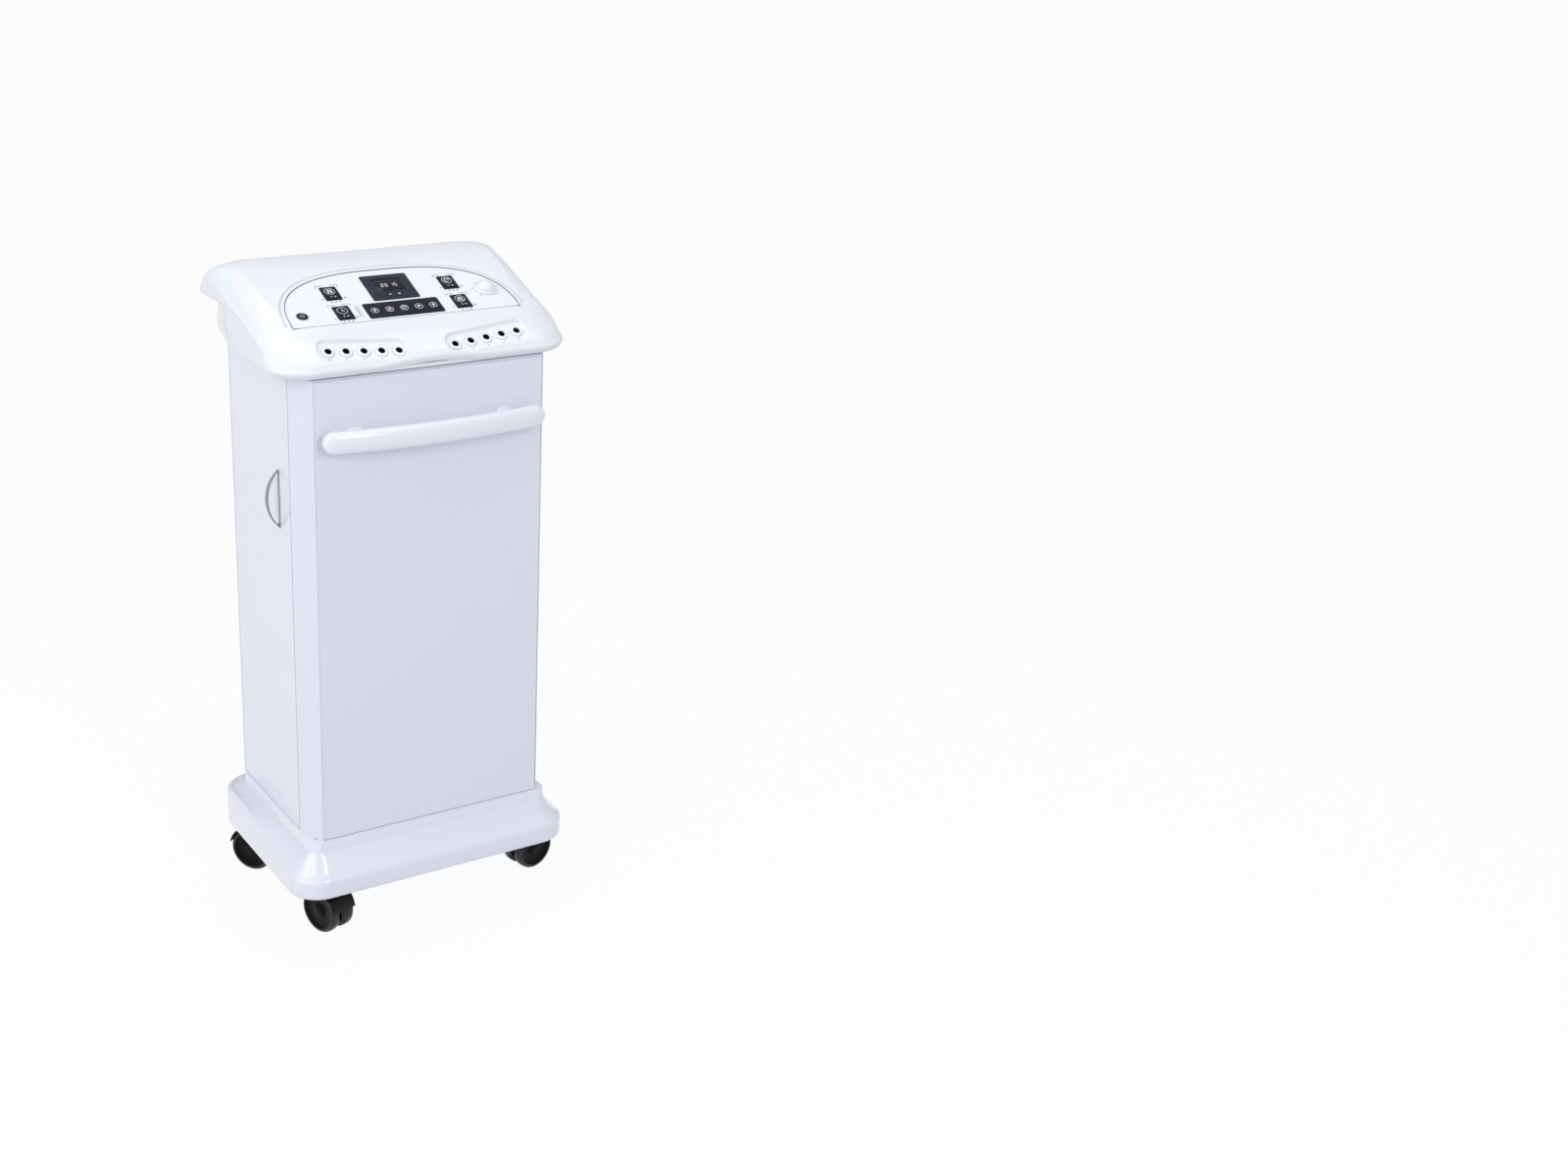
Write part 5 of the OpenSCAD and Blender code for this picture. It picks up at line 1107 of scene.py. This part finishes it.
# ---------------------------------------------------------------- rear and inside

softened("power_inlet", "black_plastic", "cabinet", 0.35)
softened("power_switch", "black_plastic", "rocker", 0.3)
softened("fan_frame", "black_plastic", "cabinet", 0.4)
softened("transformer", "zinc_steel", "cabinet", 0.6)
softened("compressor_housing", "cast_alloy", "cabinet", 1.0)
softened("valve_block", "black_plastic", "cabinet", 0.8)
softened("air_manifold", "black_plastic", "cabinet", 0.25)
softened("equipment_shelf", "cabinet_paint", "cabinet", 0.4)

# CAD nodes that stay in view as they are
KEPT = {
    "head_tray": "cover_plastic", "base_frame": "zinc_steel", "handle_screws": "zinc_steel",
    "door_hinge_pins": "zinc_steel", "door_catch": "black_plastic", "rear_screws": "zinc_steel",
    "knob_encoder": "zinc_steel", "main_board": "circuit_board", "key_switches": "black_plastic",
    "compressor_armature": "zinc_steel", "valve_rotor": "hub_grey", "fan_rotor": "hub_grey",
    "air_tubes": "air_tube",
}
for node_name, mat_name in KEPT.items():
    repaint(node_name, mat_name)

# ---------------------------------------------------------------- studio


def seen_by(tree, first, second):
    """Socket that is 1 for rays of either kind."""
    rays, either = new_node(tree, "LightPath"), new_node(tree, "Math")
    either.operation = "MAXIMUM"
    tree.links.new(rays.outputs[first], either.inputs[0])
    tree.links.new(rays.outputs[second], either.inputs[1])
    return either.outputs[0]


def mixed(tree, amount, plain, white, target):
    """Gives the target a mix of the two shaders. The amount is the share of the white one."""
    mix = new_node(tree, "MixShader")
    tree.links.new(amount, mix.inputs[0])
    tree.links.new(plain.outputs[0], mix.inputs[1])
    tree.links.new(white.outputs[0], mix.inputs[2])
    tree.links.new(mix.outputs[0], tree.nodes[target].inputs["Surface"])


def make_floor():
    """Pale floor that the camera sees almost as plain white, with faint shadows left."""
    mat = bpy.data.materials.new("studio_floor")
    mat.use_nodes = True
    tree = mat.node_tree
    shader = tree.nodes["Principled BSDF"]
    set_inputs(shader, Base_Color=srgb(205, 207, 213), Roughness=0.6)
    glow, amount = new_node(tree, "Emission", Strength=1.0), new_node(tree, "Math")
    amount.operation = "MULTIPLY"
    amount.inputs[1].default_value = 0.95
    tree.links.new(seen_by(tree, "Is Camera Ray", "Is Glossy Ray"), amount.inputs[0])
    mixed(tree, amount.outputs[0], shader, glow, "Material Output")
    bm = bmesh.new()
    bmesh.ops.create_circle(bm, cap_ends=True, radius=30, segments=96)
    floor = add_object("studio_floor", bm)
    floor.data.materials.append(mat)


def make_world():
    """Soft sky, brighter above than near the floor, that the camera sees as plain white."""
    world = bpy.data.worlds.new("studio")
    bpy.context.scene.world = world
    world.use_nodes = True
    tree = world.node_tree
    sky = tree.nodes["Background"]
    sky.inputs["Color"].default_value = (0.93, 0.95, 1.0, 1)
    height = new_node(tree, "SeparateXYZ")
    tree.links.new(new_node(tree, "TexCoord").outputs["Generated"], height.inputs[0])
    rise = new_node(tree, "MapRange", From_Min=-0.1, From_Max=0.9, To_Min=0.52, To_Max=0.64)
    tree.links.new(height.outputs["Z"], rise.inputs["Value"])
    tree.links.new(rise.outputs["Result"], sky.inputs["Strength"])
    white = new_node(tree, "Background", Color=(1, 1, 1, 1), Strength=1.0)
    mixed(tree, seen_by(tree, "Is Camera Ray", "Is Transmission Ray"), sky, white, "World Output")


def make_lamps():
    """Large key light from the left, a soft one from above and a narrow one in front."""
    target = Vector((0, 0, 0.6))
    for name, place, size, power, tint in (
            ("key_light", (-3.6, -0.9, 2.3), (4.0, 3.4), 72, (1.0, 0.99, 0.99)),
            ("top_light", (0.3, 0.2, 3.4), (2.6, 1.6), 17, (0.98, 0.99, 1.0)),
            ("front_light", (0.3, -3.6, 2.6), (0.5, 1.5), 34, (0.97, 0.98, 1.0))):
        lamp = bpy.data.lights.new(name, "AREA")
        lamp.shape = "RECTANGLE"
        lamp.size, lamp.size_y = size
        lamp.energy = power
        lamp.color = tint
        ob = bpy.data.objects.new(name, lamp)
        ob.location = place
        ob.rotation_euler = (target - Vector(place)).to_track_quat("-Z", "Y").to_euler()
        bpy.context.scene.collection.objects.link(ob)


def make_camera():
    """Camera of the photograph's view."""
    cam = bpy.data.cameras.new("camera")
    cam.sensor_width = 36
    cam.sensor_fit = "HORIZONTAL"
    cam.lens = 48.095
    cam.clip_end = 200
    ob = bpy.data.objects.new("camera", cam)
    ob.location = (-1.328, -2.911, 1.842)
    ob.rotation_euler = [math.radians(a) for a in (67.803, -3.488, -34.544)]
    bpy.context.scene.collection.objects.link(ob)
    bpy.context.scene.camera = ob


make_floor()
make_world()
make_lamps()
make_camera()
bpy.context.scene.view_settings.view_transform = "Standard"
